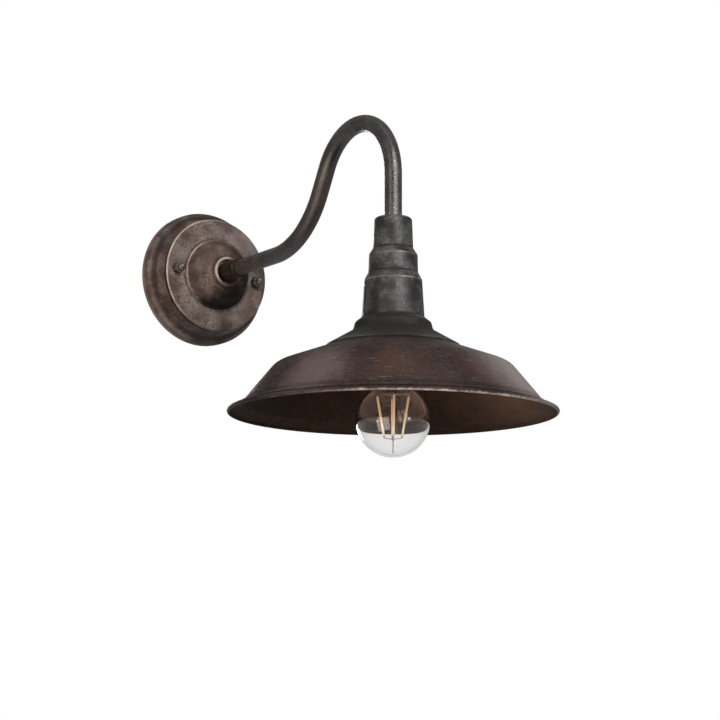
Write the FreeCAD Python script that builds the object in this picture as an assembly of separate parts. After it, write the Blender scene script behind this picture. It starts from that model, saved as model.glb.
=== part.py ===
import FreeCAD
import Part
import math
import os

# Gooseneck wall sconce with a shallow barn shade, in millimetres.
# Origin: centre of the wall bracket's back face. +Y goes into the wall, +Z up, +X right.
# Pieces at the wall are drawn standing on a table (up = away from the wall) and then tipped over.
# Pieces at the lamp are drawn about the Z axis and then carried out to the shade's axis.

V = FreeCAD.Vector

# ---- edges and cutting ----
fine_edge = 0.3
plain_edge = 0.5
soft_edge = 0.8
least_round = 0.1          # inside of a bend in sheet
cut_past = 1.0             # how far a drill or cutter runs past the metal

# ---- gooseneck arm ----
tube_radius = 7.08
tube_wall = 1.0
reach = 310.0              # wall to the shade's axis
rise_bend = 79.4           # centreline radius where the arm turns upwards
rise_angle = 60.7          # degrees above level
between_bends = 22.37      # sloping straight run between the two bends
crook_bend = 52.3          # centreline radius over the top
socket_clearance = 0.05    # brazed and threaded joints that do not move

# ---- wall canopy ----
canopy_radius = 60.7
canopy_depth = 28.8
canopy_wall = 1.2
shoulder_height = 8.6
shoulder_round = 4.0
cove_inset = 5.9           # how far the cove's foot lies inside the rim
cove_height = 12.0
cove_round = 9.0
face_radius = 49.95        # top of the cove, under the lip
lip_overhang = 1.3
lip_height = 2.6
lip_round = 1.1
stud_circle = 40.4         # radius on which the two studs stand
stud_turn = 2.8            # degrees by which the canopy is turned on its bracket

# ---- boss, ferrule and its fixing ----
boss_radius = 31.75
boss_height = 20.9
boss_wall = 2.0
boss_bead = 1.4
boss_bead_round = 0.63
dome_radius = 25.6         # where the dome's flank meets its crown
dome_height = 12.6
dome_round = 7.5
dome_inner_round = 5.6
collar_radius = 13.2
collar_flare = 0.7         # the collar's foot is wider than its rim by this
collar_foot_round = 1.6
collar_round = 1.2
collar_height = 3.4
collar_wall = 2.9
collar_depth = 3.2         # from the collar's rim down to the ledge that the ferrule stands on
ledge_thickness = 2.6
ferrule_radius = 8.8
ferrule_length = 24.0
tube_insertion = 16.0
thread_radius = 4.95       # ten millimetre hollow thread
thread_bore = 3.9
hole_clearance = 0.25
tail_past_nut = 2.2
lock_nut_flats = 14.0
lock_nut_height = 4.0
washer_radius = 8.6
washer_height = 0.9
nut_chamfer = 1.2          # as a share of the difference between corner and flat

# ---- wall bracket ----
plate = 1.5
bracket_width = 22.0
bracket_half_length = 48.0
bracket_lift = 4.5         # how far the stud ends stand off the wall
bracket_bend = 1.8
joggle_start = 32.0
joggle_run = 3.0
wall_slot_spacing = 50.8
wall_slot_length = 10.0
wall_slot_width = 5.0
stud_slot_swing = 7.0      # degrees that the studs can swing each way
tab_drop = 26.0            # tab below the bar for the terminal block

# ---- studs, cap nuts, earth stud ----
stud_radius = 2.45
stud_play = 0.3
stud_head_radius = 4.4
stud_head_height = 2.8
stud_end_gap = 0.5         # between a stud and the bottom of its cap nut
stud_nut_flats = 8.0
stud_nut_height = 4.0
cap_nut_hex_height = 6.2
cap_nut_dome = 3.8
cap_nut_waist = 1.0        # round part between the hexagon and the dome
cap_nut_depth = 8.3        # blind thread
cap_washer_radius = 5.0
cap_washer_height = 1.0
earth_x = 13.0
earth_z = 5.0
earth_stud_radius = 1.95
earth_stud_height = 9.0
earth_nut_flats = 7.0
earth_nut_height = 3.2
tag_radius = 3.8
tag_thickness = 0.8
tag_barrel_radius = 1.75
tag_barrel_length = 5.0
tag_barrel_end = 0.6       # closed end of the barrel
tag_barrel_lift = 0.15
tag_play = 0.1
tag_neck = 0.4
tongue_width = 2.6
tongue_into_eye = 0.8
tongue_under_barrel = 1.5

# ---- terminal block and wires ----
block_gap = 6.0            # below the bar
block_length = 17.0
block_width = 27.0
block_height = 12.5
block_shoulder = 8.5       # height of the wire entries
block_step = 1.6           # how far the towers stand back
block_play = 0.3           # round screws and screwdriver
block_edge = 1.0
pole_pitch = 8.4
pole_height = 6.0          # axis of a pole above the plate
insert_radius = 2.2
insert_bore = 1.4
insert_length = 15.0
clamp_screw_radius = 1.45
clamp_screw_length = 3.6
clamp_screw_spread = 4.0   # each side of the block's middle
slot_width = 0.6
slot_depth = 0.9
fixing_screw_radius = 1.45
fixing_head_radius = 2.3
fixing_head_height = 1.6
fixing_end_gap = 0.2       # between a fixing screw and the wall
wire_radius = 1.1
wire_pair_offset = 1.3     # each wire lies this far from the tube's centreline
wire_insertion = 5.0
block_bend = 6.0
tail_bend = 9.0
holder_wire_bend = 5.0
wire_rise = 3.5            # straight run above the block
lead_in_height = 3.0       # straight run above a lampholder terminal
nipple_run_out = 2.0
terminal_wire_stop = 2.5   # wire's end above the core
earth_wire_rise = 4.0
earth_wire_lead = 2.6      # straight run before the tag's barrel
earth_wire_insertion = 3.5
earth_wire_bend = 4.4

# ---- neck housing: three tapered tiers, a foot and a skirt ----
neck_top = 1.5             # below the arm's axis at the wall
neck_wall = 1.5
neck_top_round = 3.0
tier1_radius = 15.05
tier1_height = 24.7
tier1_taper = 0.9
step1_height = 5.8
tier2_radius = 19.45
tier2_height = 13.8
tier2_taper = 0.35
step2_height = 6.4
holder_gap = 1.5           # between the lampholder and the third tier
tier3_height = 29.8
tier3_taper = 1.8
step3_height = 4.6
foot_radius = 30.2
foot_height = 6.2
foot_taper = 1.6
skirt_radius = 52.8
skirt_height = 12.05
step_round = 1.1
foot_round = 1.65
skirt_round = 5.0

# ---- lampholder, E27 ----
shell_bore = 13.3
shell_wall = 0.45
shell_gap = 0.55
holder_wall = 5.7
holder_joint_wall = 2.0
core_clearance = 0.1
mouth_below_shade = 23.6
socket_depth = 29.0
core_height = 15.0
cap_spigot = 4.0
cap_height = 20.0
cap_top = 3.0
cap_round = 3.0
cap_inner_round = 2.0
nipple_past_cap = 1.5
bush_length = 12.0
shell_setback = 3.0        # the screw shell ends this far inside the mouth
shell_tab_width = 7.0
shell_tab_reach = 3.0      # from the rivet towards the middle
contact_drop = 5.2
contact_foot = 2.5         # half length of the riveted end
contact_flat = (-3.0, 2.0)
contact_tip = 4.5
contact_tip_rise = 2.2
contact_bend = 1.5
contact_thickness = 0.6
contact_width = 6.0
terminal_offset = 9.0
terminal_size = 5.0
terminal_height = 7.0
terminal_extra_width = 1.0
terminal_floor = 1.5
terminal_play = 0.2
terminal_screw_share = 0.55
rivet_radius = 1.2
rivet_head_radius = 2.04
rivet_head_height = 0.7
holder_screw_radius = 1.5
holder_screw_head = 2.3
holder_screw_head_height = 1.8

# ---- shade and its ring ----
shade_radius = 130.0
shade_wall = 1.2
crown_angle = 19.7
shoulder_radius = 93.4
shoulder_blend = 16.0
side_angle = 50.6
lip_start_radius = 117.6
lip_angle = 30.2
lip_blend = 8.0
rim_bead = 1.6
shade_hole_clearance = 0.5
flat_round = 6.0
ring_flange = 6.0
ring_flange_height = 2.0
ring_collar = 2.6
ring_height = 5.6
ring_notches = 8
ring_notch_radius = 2.4
ring_notch_offset = 0.8
flat_margin = 1.0

# ---- globe bulb ----
thread_play = 0.3
contact_gap = 0.3
globe_radius = 29.25
bulb_length = 94.35
glass_wall = 0.8
glass_neck_radius = 13.5
glass_neck_blend = 10.0
glass_root_radius = 12.2
glass_root_depth = 11.0
glass_root_gap = 0.3       # the cap ends this far above the glass neck
glass_neck_step = 1.5
bulb_cap_wall = 0.5
bulb_cap_height = 22.0
bulb_cap_crown = 1.6
bulb_cap_round = 0.7
eyelet_radius = 4.8
eyelet_height = 1.0
insulator_height = 3.5
insulator_shoulder = 1.1
insulator_step = 0.4
insulator_step_height = 0.9
contact_ledge = 0.6        # eyelet and insulator step round the contact
stem_radius = 2.6
stem_length = 29.0
flare_height = 8.0
flare_lip = 1.2
flare_dish = 1.0
flare_round = 4.0
stem_flare = 1.0
stem_round = 2.08
board_clearance = 0.1
board_thickness = 1.2
board_hole = 1.5
board_depth = 4.0
filament_count = 4
filament_radius = 0.9
filament_length = 31.5
filament_top_circle = 12.4
filament_foot_circle = 7.2
filament_foot_height = 16.9   # feet of the filaments above the globe's lowest point
filament_turn = -31.0         # degrees
support_radius = 0.4
support_run = 2.0          # straight run of a wire in line with its filament
lead_circle = 1.43         # where the lead wires leave the stem
hub_drop = 3.0             # from the feet down to where their wires meet
foot_run = 2.2
rod_radius = 0.55
rod_below = 11.2

# ---- levels that follow from the sizes above ----
rise = math.radians(rise_angle)
bends_reach = (rise_bend + crook_bend) * math.sin(rise) + crook_bend
first_run = reach - bends_reach - between_bends * math.cos(rise)

boss_top = canopy_depth + boss_height
ledge_top = boss_top - collar_depth
ferrule_end = ledge_top + ferrule_length
tube_start = ferrule_end - tube_insertion
tail_end = canopy_depth - canopy_wall - washer_height - lock_nut_height - tail_past_nut
pole_level = plate + pole_height
block_top = -bracket_width / 2 - block_gap
block_middle = block_top - block_length / 2

shell_outside = shell_bore + shell_wall
skirt_bore = shell_outside + shell_gap
holder_radius = skirt_bore + holder_wall
core_radius = holder_radius - holder_joint_wall - core_clearance
tier3_radius = holder_radius + holder_gap + neck_wall
ring_radius = holder_radius + ring_flange
flat_radius = ring_radius + flat_margin

tier1_end = -neck_top - tier1_height
tier2_start = tier1_end - step1_height
tier2_end = tier2_start - tier2_height
tier3_start = tier2_end - step2_height
tier3_end = tier3_start - tier3_height
foot_start = tier3_end - step3_height
foot_end = foot_start - foot_height
skirt_end = foot_end - skirt_height

seat_gap = 0.02
skirt_slant = math.atan2(skirt_height, skirt_radius - foot_radius - foot_taper)
seat_radius = skirt_radius - neck_wall * math.sin(skirt_slant)
seat_level = skirt_end - neck_wall * math.cos(skirt_slant) - seat_gap
crown_slope = math.tan(math.radians(crown_angle))
side_slope = math.tan(math.radians(side_angle))
lip_slope = math.tan(math.radians(lip_angle))
flat_level = seat_level + crown_slope * (seat_radius - flat_radius)
shoulder_level = flat_level - crown_slope * (shoulder_radius - flat_radius)
lip_level = shoulder_level - side_slope * (lip_start_radius - shoulder_radius)
bead_radius = shade_radius - rim_bead
rim_level = lip_level - lip_slope * (shade_radius - lip_start_radius)

mouth_level = flat_level - shade_wall - mouth_below_shade
core_bottom = mouth_level + socket_depth
core_top = core_bottom + core_height
joint_level = core_top + cap_spigot
holder_top = joint_level + cap_height
nipple_end = holder_top - cap_top - nipple_past_cap
contact_level = core_bottom - contact_drop

bulb_cap_radius = shell_bore - thread_play
eyelet_top = contact_level - contact_gap
insulator_top = eyelet_top - eyelet_height
bulb_cap_top = insulator_top - insulator_height
bulb_cap_bottom = bulb_cap_top - bulb_cap_height
bulb_tip = eyelet_top - bulb_length
globe_level = bulb_tip + globe_radius
flare_level = bulb_cap_bottom + glass_root_depth
stem_end = flare_level - stem_length
filament_foot = bulb_tip + filament_foot_height
filament_drop = math.sqrt(filament_length**2 - (filament_top_circle - filament_foot_circle) ** 2)
filament_top = filament_foot + filament_drop


# ---- drawing helpers ----
def corner_arc(before, corner, after, rounding):
    """Start, middle and end of the arc that rounds a corner between two straight runs."""
    back = (before - corner).normalize()
    ahead = (after - corner).normalize()
    half = back.getAngle(ahead) / 2
    tangent = rounding / math.tan(half)
    inward = (back + ahead).normalize()
    centre = corner + inward * (rounding / math.sin(half))
    return corner + back * tangent, centre - inward * rounding, corner + ahead * tangent


def rounded_wire(points, roundings, closed):
    """Straight runs joined by tangent arcs through the given corners."""
    count = len(points)
    stops = []
    for i, point in enumerate(points):
        if roundings[i] > 0:
            arc = corner_arc(points[i - 1], point, points[(i + 1) % count], roundings[i])
            stops.append(arc)
        else:
            stops.append((point,))
    edges = []
    for i, stop in enumerate(stops):
        if len(stop) == 3:
            edges.append(Part.Arc(*stop).toShape())
        following = stops[(i + 1) % count]
        if i + 1 == count and not closed:
            break
        if (following[0] - stop[-1]).Length > 1e-6:
            edges.append(Part.LineSegment(stop[-1], following[0]).toShape())
    return Part.Wire(edges)


def flat_face(corners):
    """Face in the XZ plane from (x, z, rounding) corners."""
    points = [V(x, 0, z) for x, z, rounding in corners]
    return Part.Face(rounded_wire(points, [corner[2] for corner in corners], True))


def turned(corners):
    """Solid of revolution about Z from (radius, height, rounding) corners."""
    return flat_face(corners).revolve(V(0, 0, 0), V(0, 0, 1), 360)


def sheet(corners, wall):
    """Closed outline of a bent sheet: its drawn face, then that face set off to the left by wall."""
    count = len(corners)
    headings = []
    for i in range(count - 1):
        du = corners[i + 1][0] - corners[i][0]
        dv = corners[i + 1][1] - corners[i][1]
        length = math.hypot(du, dv)
        headings.append((du / length, dv / length))
    back = []
    for i, (u, v, rounding) in enumerate(corners):
        first = headings[max(i - 1, 0)]
        second = headings[min(i, count - 2)]
        turn = first[0] * second[1] - first[1] * second[0]
        spread = 1 + first[0] * second[0] + first[1] * second[1]
        back_u = u - wall * (first[1] + second[1]) / spread
        back_v = v + wall * (first[0] + second[0]) / spread
        change = -wall if turn > 0 else wall
        back.append((back_u, back_v, max(rounding + change, least_round) if rounding else 0))
    return corners + back[::-1]


def ring(inner, outer, low, high):
    """Plain ring about Z."""
    return turned([(inner, low, 0), (outer, low, 0), (outer, high, 0), (inner, high, 0)])


def rod(radius, start, end):
    """Round bar from one point to another."""
    along = end - start
    return Part.makeCylinder(radius, along.Length, start, along)


def block(x_low, x_high, y_low, y_high, z_low, z_high):
    """Rectangular block between the given sides."""
    return Part.makeBox(x_high - x_low, y_high - y_low, z_high - z_low, V(x_low, y_low, z_low))


def hex_bar(flats, low, high):
    """Six-sided bar about Z."""
    corner = flats / 2 / math.cos(math.radians(30))
    points = [V(corner, 0, low)]
    for i in range(1, 7):
        angle = math.radians(60 * i)
        points.append(V(corner * math.cos(angle), corner * math.sin(angle), low))
    return Part.Face(Part.makePolygon(points)).extrude(V(0, 0, high - low))


def hex_nut(flats, bore, low, high):
    """Six-sided nut with both rims turned off."""
    corner = flats / 2 / math.cos(math.radians(30))
    rim = (corner - flats / 2) * nut_chamfer
    blank = turned([
        (bore, low, 0),
        (corner - rim, low, 0),
        (corner, low + rim / 2, 0),
        (corner, high - rim / 2, 0),
        (corner - rim, high, 0),
        (bore, high, 0),
    ])
    return blank.common(hex_bar(flats, low, high))


def swept(points, roundings, radius):
    """Round bar along straight runs and tangent arcs."""
    spine = rounded_wire(points, roundings, False)
    start = points[0]
    circle = Part.Wire(Part.makeCircle(radius, start, points[1] - start))
    solid = spine.makePipeShell([circle], True, False)
    share = solid.Volume / (math.pi * radius**2 * spine.Length)
    bends = [rounding for rounding in roundings if rounding > 0]
    print(f"sweep length {spine.Length:.1f}, volume share {share:.4f}, tightest bend {min(bends):.1f}")
    return solid


def drill(radius, place, height):
    """Cutter for a hole that starts at place and runs past height, both ways."""
    past = V(0, 0, cut_past)
    return rod(radius, place - past, place + V(0, 0, height) + past)


def from_wall(shape):
    """Tip a piece over so that its height points out of the wall."""
    tipped = shape.copy()
    tipped.rotate(V(0, 0, 0), V(1, 0, 0), 90)
    return tipped


def at_lamp(shape):
    """Carry a piece out to the shade's axis."""
    moved = shape.copy()
    moved.translate(V(0, -reach, 0))
    return moved


def stud_places():
    """The two stud centres on the canopy, as seen from the front."""
    turn = math.radians(stud_turn)
    x = stud_circle * math.cos(turn)
    y = stud_circle * math.sin(turn)
    return [V(-x, y, 0), V(x, -y, 0)]


def at_studs(shape):
    """One copy of a fastener at each stud."""
    copies = []
    for place in stud_places():
        copy = shape.copy()
        copy.translate(place)
        copies.append(copy)
    return Part.makeCompound(copies)


# ---- the gooseneck's line, shared by the tube and the wires in it ----
def gooseneck_corners(x):
    """Corners and roundings of the arm's centreline, at a sideways offset x."""
    start_out = first_run + rise_bend * math.sin(rise) + between_bends * math.cos(rise)
    start_up = rise_bend * (1 - math.cos(rise)) + between_bends * math.sin(rise)
    centre_out = start_out + crook_bend * math.sin(rise)
    centre_up = start_up - crook_bend * math.cos(rise)
    corners = [V(x, -first_run - rise_bend * math.tan(rise / 2), 0)]
    roundings = [rise_bend]
    sweep = rise + math.pi / 2
    far = crook_bend / math.cos(sweep / 4)
    for share in (0.75, 0.25):
        out = centre_out + far * math.cos(share * sweep)
        up = centre_up + far * math.sin(share * sweep)
        corners.append(V(x, -out, up))
        roundings.append(crook_bend)
    return corners, roundings


# ---- pieces at the wall ----
def canopy_shell():
    """Spun shell: band, shoulder, cove, then the face with its overhanging lip."""
    outside = [
        (canopy_radius, 0, 0),
        (canopy_radius, shoulder_height, shoulder_round),
        (canopy_radius - cove_inset, cove_height, cove_round),
        (face_radius, canopy_depth, plain_edge),
        (thread_radius + hole_clearance, canopy_depth, 0),
    ]
    shell = turned(sheet(outside, canopy_wall))
    lip_low = canopy_depth - lip_height
    lip_radius = face_radius + lip_overhang
    lip = turned([
        (face_radius - canopy_wall, lip_low, 0),
        (lip_radius, lip_low, lip_round),
        (lip_radius, canopy_depth, lip_round),
        (face_radius - canopy_wall, canopy_depth, 0),
    ])
    shell = shell.fuse(lip)
    hole = rod(stud_radius + stud_play, V(0, 0, 0), V(0, 0, canopy_depth + cut_past))
    return from_wall(shell.cut(at_studs(hole)).removeSplitter())


def canopy_boss():
    """Bell-shaped boss: bead at its foot, dome, and a collar whose mouth holds the ferrule."""
    mouth = collar_radius - collar_wall
    neck = collar_radius + collar_flare
    ledge = ledge_top - ledge_thickness
    return from_wall(turned([
        (boss_radius - boss_wall, canopy_depth, 0),
        (boss_radius, canopy_depth, 0),
        (boss_radius, canopy_depth + boss_bead, boss_bead_round),
        (boss_radius - boss_bead, canopy_depth + boss_bead, fine_edge),
        (dome_radius, canopy_depth + dome_height, dome_round),
        (neck, boss_top - collar_height, collar_foot_round),
        (collar_radius, boss_top, collar_round),
        (mouth, boss_top, collar_round),
        (mouth, ledge_top, fine_edge),
        (thread_radius + hole_clearance, ledge_top, 0),
        (thread_radius + hole_clearance, ledge, 0),
        (neck - boss_wall, ledge, soft_edge),
        (dome_radius - boss_wall, canopy_depth + dome_height - boss_wall, dome_inner_round),
    ]))


def arm_ferrule():
    """Black sleeve that the arm is brazed into, with a hollow threaded tail."""
    body = turned([
        (thread_bore, tail_end, 0),
        (thread_radius, tail_end, fine_edge),
        (thread_radius, ledge_top, 0),
        (ferrule_radius, ledge_top, fine_edge),
        (ferrule_radius, ferrule_end, plain_edge),
        (tube_radius + socket_clearance, ferrule_end, 0),
        (tube_radius + socket_clearance, tube_start, 0),
        (thread_bore, tube_start, plain_edge),
    ])
    return from_wall(body)


def arm_lock_washer():
    """Washer under the ferrule's nut, inside the canopy."""
    top = canopy_depth - canopy_wall
    return from_wall(ring(thread_radius + hole_clearance, washer_radius, top - washer_height, top))


def arm_lock_nut():
    """Nut that pulls the ferrule and the boss against the canopy's face."""
    top = canopy_depth - canopy_wall - washer_height
    bore = thread_radius + socket_clearance
    return from_wall(hex_nut(lock_nut_flats, bore, top - lock_nut_height, top))


def arm_tube():
    """Bent tube from the ferrule, over the top and down to the neck."""
    corners, roundings = gooseneck_corners(0)
    points = [V(0, -tube_start, 0)] + corners + [V(0, -reach, -neck_top)]
    roundings = [0] + roundings + [0]
    outside = swept(points, roundings, tube_radius)
    return outside.cut(swept(points, roundings, tube_radius - tube_wall))


def wall_bracket():
    """Joggled bar: flat against the wall in the middle, with raised ends for the studs."""
    joggle_end = joggle_start + joggle_run
    back = [
        (-bracket_half_length, bracket_lift, 0),
        (-joggle_end, bracket_lift, bracket_bend),
        (-joggle_start, 0, bracket_bend + plate),
        (joggle_start, 0, bracket_bend + plate),
        (joggle_end, bracket_lift, bracket_bend),
        (bracket_half_length, bracket_lift, 0),
    ]
    half_width = bracket_width / 2
    bar = flat_face(sheet(back, plate)).extrude(V(0, bracket_width, 0))
    bar.translate(V(0, -half_width, 0))
    tab_low = -half_width - tab_drop
    bar = bar.fuse(block(-block_width / 2, block_width / 2, tab_low, 0, 0, plate))
    rounded_end = Part.makeCylinder(bracket_half_length, plate + bracket_lift + cut_past)
    bar = bar.common(rounded_end)
    for side in (-1, 1):
        bar = bar.cut(wall_slot(side * wall_slot_spacing / 2))
        bar = bar.cut(stud_slot(side))
    bar = bar.cut(drill(earth_stud_radius, V(earth_x, earth_z, 0), plate))
    for place in fixing_places():
        bar = bar.cut(drill(fixing_screw_radius + socket_clearance, place, plate))
    return from_wall(bar.removeSplitter())


def wall_slot(x):
    """Slot for a wall screw, its length along the bar."""
    end = (wall_slot_length - wall_slot_width) / 2
    radius = wall_slot_width / 2
    slot = block(x - end, x + end, -radius, radius, -cut_past, plate + cut_past)
    for side in (-1, 1):
        slot = slot.fuse(drill(radius, V(x + side * end, 0, 0), plate))
    return slot.removeSplitter()


def stud_slot(side):
    """Curved slot in a raised end, which lets the canopy be turned level."""
    width = stud_radius + stud_play
    low = -cut_past
    high = bracket_lift + plate + cut_past
    start = math.radians(-stud_slot_swing)
    section = Part.Face(Part.makePolygon([
        V(stud_circle - width, 0, low),
        V(stud_circle + width, 0, low),
        V(stud_circle + width, 0, high),
        V(stud_circle - width, 0, high),
        V(stud_circle - width, 0, low),
    ]))
    slot = section.revolve(V(0, 0, 0), V(0, 0, 1), 2 * stud_slot_swing)
    slot.rotate(V(0, 0, 0), V(0, 0, 1), -stud_slot_swing)
    for angle in (start, -start):
        place = V(stud_circle * math.cos(angle), stud_circle * math.sin(angle), low)
        slot = slot.fuse(rod(width, place, place + V(0, 0, high - low)))
    if side < 0:
        slot.rotate(V(0, 0, 0), V(0, 0, 1), 180)
    return slot


def bracket_studs():
    """Studs whose heads lie behind the bracket's raised ends."""
    head_top = bracket_lift
    end = canopy_depth + cap_washer_height + cap_nut_depth - stud_end_gap
    return from_wall(at_studs(turned([
        (0, head_top - stud_head_height, 0),
        (stud_head_radius, head_top - stud_head_height, soft_edge),
        (stud_head_radius, head_top, 0),
        (stud_radius, head_top, 0),
        (stud_radius, end, plain_edge),
        (0, end, 0),
    ])))


def stud_nuts():
    """Nuts that hold the studs in the bracket."""
    low = bracket_lift + plate
    nut = hex_nut(stud_nut_flats, stud_radius + socket_clearance, low, low + stud_nut_height)
    return from_wall(at_studs(nut))


def cap_washers():
    """Washers between the canopy's face and the domed nuts."""
    top = canopy_depth + cap_washer_height
    return from_wall(at_studs(turned([
        (stud_radius + stud_play, canopy_depth, 0),
        (cap_washer_radius, canopy_depth, 0),
        (cap_washer_radius, top, fine_edge),
        (stud_radius + stud_play, top, 0),
    ])))


def cap_nuts():
    """Domed nuts that hold the canopy."""
    low = canopy_depth + cap_washer_height
    high = low + cap_nut_hex_height
    body = hex_nut(stud_nut_flats, 0, low, high - cap_nut_waist)
    collar = Part.makeCylinder(cap_nut_dome, high - low, V(0, 0, low))
    dome = Part.makeSphere(cap_nut_dome, V(0, 0, high))
    upper = Part.makeCylinder(cap_nut_dome + cut_past, cap_nut_dome + cut_past, V(0, 0, high))
    nut = body.fuse(collar).fuse(dome.common(upper))
    thread = Part.makeCylinder(stud_radius + socket_clearance, cap_nut_depth, V(0, 0, low))
    return from_wall(at_studs(nut.cut(thread).removeSplitter()))


def earth_stud():
    """Earth post riveted into the bracket."""
    return from_wall(turned([
        (0, 0, 0),
        (earth_stud_radius, 0, 0),
        (earth_stud_radius, earth_stud_height, fine_edge),
        (0, earth_stud_height, 0),
    ]).translated(V(earth_x, earth_z, 0)))


def earth_nut():
    """Nut that clamps the ring tag."""
    low = plate + tag_thickness
    bore = earth_stud_radius + socket_clearance
    nut = hex_nut(earth_nut_flats, bore, low, low + earth_nut_height)
    return from_wall(nut.translated(V(earth_x, earth_z, 0)))


def tag_barrel_level():
    """Height of the crimp barrel's axis over the wall."""
    return plate + tag_barrel_radius + tag_barrel_lift


def earth_tag():
    """Ring tag under the earth nut, with the barrel that the earth wire is crimped into."""
    eye = ring(earth_stud_radius + tag_play, tag_radius, plate, plate + tag_thickness)
    eye = eye.translated(V(earth_x, earth_z, 0))
    barrel_top = earth_z - tag_radius - tag_neck
    barrel_low = barrel_top - tag_barrel_length
    tongue = block(earth_x - tongue_width / 2, earth_x + tongue_width / 2,
                   barrel_top - tongue_under_barrel, earth_z - tag_radius + tongue_into_eye,
                   plate, plate + tag_thickness)
    start = V(earth_x, barrel_low, tag_barrel_level())
    end = V(earth_x, barrel_top, tag_barrel_level())
    barrel = rod(tag_barrel_radius, start, end)
    tag = eye.fuse(tongue).fuse(barrel)
    tag = tag.cut(rod(wire_radius + tag_play, start - V(0, cut_past, 0), end - V(0, tag_barrel_end, 0)))
    return from_wall(tag.removeSplitter())


def pole_places():
    """Sideways place of each pole."""
    return [-pole_pitch, 0, pole_pitch]


def fixing_places():
    """The two block screws stand between the poles."""
    return [V(x, block_middle, 0) for x in (-pole_pitch / 2, pole_pitch / 2)]


def clamp_places():
    """Two clamp screws on each pole."""
    places = []
    for x in pole_places():
        for side in (-1, 1):
            places.append(V(x, block_middle + side * clamp_screw_spread, pole_level))
    return places


def terminal_block():
    """Three-pole block: a stepped body with a tower over each clamp screw."""
    half = block_length / 2
    top = plate + block_height
    shoulder = plate + block_shoulder
    face = flat_face([
        (-half, plate, 0),
        (half, plate, 0),
        (half, shoulder, block_edge),
        (half - block_step, shoulder + block_step / 2, plain_edge),
        (half - block_step, top, block_edge),
        (-half + block_step, top, block_edge),
        (-half + block_step, shoulder + block_step / 2, plain_edge),
        (-half, shoulder, block_edge),
    ])
    body = face.extrude(V(0, block_width, 0))
    body.rotate(V(0, 0, 0), V(0, 0, 1), -90)
    body.translate(V(-block_width / 2, block_middle, 0))
    for place in fixing_places():
        groove = fixing_head_radius + block_play
        top_slot = block(place.x - groove / 2, place.x + groove / 2, block_middle - block_length,
                         block_middle + block_length, shoulder, top + cut_past)
        well = rod(groove, place + V(0, 0, shoulder), place + V(0, 0, top + cut_past))
        hole = drill(fixing_screw_radius + block_play, place, top)
        body = body.cut(top_slot).cut(well).cut(hole)
    for x in pole_places():
        bore = insert_radius + socket_clearance
        start = V(x, block_middle - block_length, pole_level)
        body = body.cut(rod(bore, start, start + V(0, 2 * block_length, 0)))
    for place in clamp_places():
        body = body.cut(rod(clamp_screw_radius + block_play, place, place + V(0, 0, block_height)))
    return from_wall(body.removeSplitter())


def terminal_inserts():
    """Brass tubes that join each pair of wires."""
    inserts = []
    for x in pole_places():
        start = V(x, block_middle - insert_length / 2, pole_level)
        end = V(x, block_middle + insert_length / 2, pole_level)
        insert = rod(insert_radius, start, end)
        insert = insert.cut(rod(insert_bore, start - V(0, cut_past, 0), end + V(0, cut_past, 0)))
        for place in clamp_places():
            if place.x == x:
                past = place + V(0, 0, insert_radius + cut_past)
                hole = rod(clamp_screw_radius + socket_clearance, place, past)
                insert = insert.cut(hole)
        inserts.append(insert)
    return from_wall(Part.makeCompound(inserts))


def slotted_screw(radius, low, high):
    """Headless screw with a driver slot in its upper end."""
    screw = turned([(0, low, 0), (radius, low, fine_edge), (radius, high, fine_edge / 2), (0, high, 0)])
    return screw.cut(driver_slot(radius, high))


def driver_slot(radius, top):
    """Cutter for a screwdriver slot in a head that ends at top."""
    half = slot_width / 2
    return block(-radius - cut_past, radius + cut_past, -half, half, top - slot_depth, top + cut_past)


def clamp_screws():
    """Grub screws that stand on the wires."""
    low = pole_level + wire_radius + socket_clearance
    screw = slotted_screw(clamp_screw_radius, low, low + clamp_screw_length)
    places = [V(place.x, place.y, 0) for place in clamp_places()]
    return from_wall(Part.makeCompound([screw.translated(place) for place in places]))


def block_screws():
    """Screws through the terminal block into the bracket's tab."""
    seat = plate + block_shoulder
    head_top = seat + fixing_head_height
    screws = []
    for place in fixing_places():
        screw = turned([
            (0, fixing_end_gap, 0),
            (fixing_screw_radius, fixing_end_gap, fine_edge),
            (fixing_screw_radius, seat, 0),
            (fixing_head_radius, seat, 0),
            (fixing_head_radius, head_top, soft_edge),
            (0, head_top, 0),
        ])
        screws.append(screw.cut(driver_slot(fixing_head_radius, head_top)).translated(place))
    return from_wall(Part.makeCompound(screws))


# ---- wires that the object holds all the way ----
def arm_wire(pole_x, side):
    """From a pole of the terminal block, through the arm, to a terminal in the lampholder."""
    x = side * wire_pair_offset
    foot = block_top - wire_insertion
    corners, roundings = gooseneck_corners(x)
    terminal_x = side * terminal_offset
    lead_in = core_top + terminal_height + lead_in_height
    points = [
        V(pole_x, -pole_level, foot),
        V(pole_x, -pole_level, block_top + wire_rise),
        V(x, -pole_level, 0),
        *corners,
        V(x, -reach, nipple_end - nipple_run_out),
        V(terminal_x, -reach, lead_in),
        V(terminal_x, -reach, core_top + terminal_wire_stop),
    ]
    bends = [0, block_bend, tail_bend, *roundings, holder_wire_bend, holder_wire_bend, 0]
    return swept(points, bends, wire_radius)


def live_wire():
    """Wire on the left side, from the first pole."""
    return arm_wire(-pole_pitch, -1)


def neutral_wire():
    """Wire on the right side, from the middle pole."""
    return arm_wire(0, 1)


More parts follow.
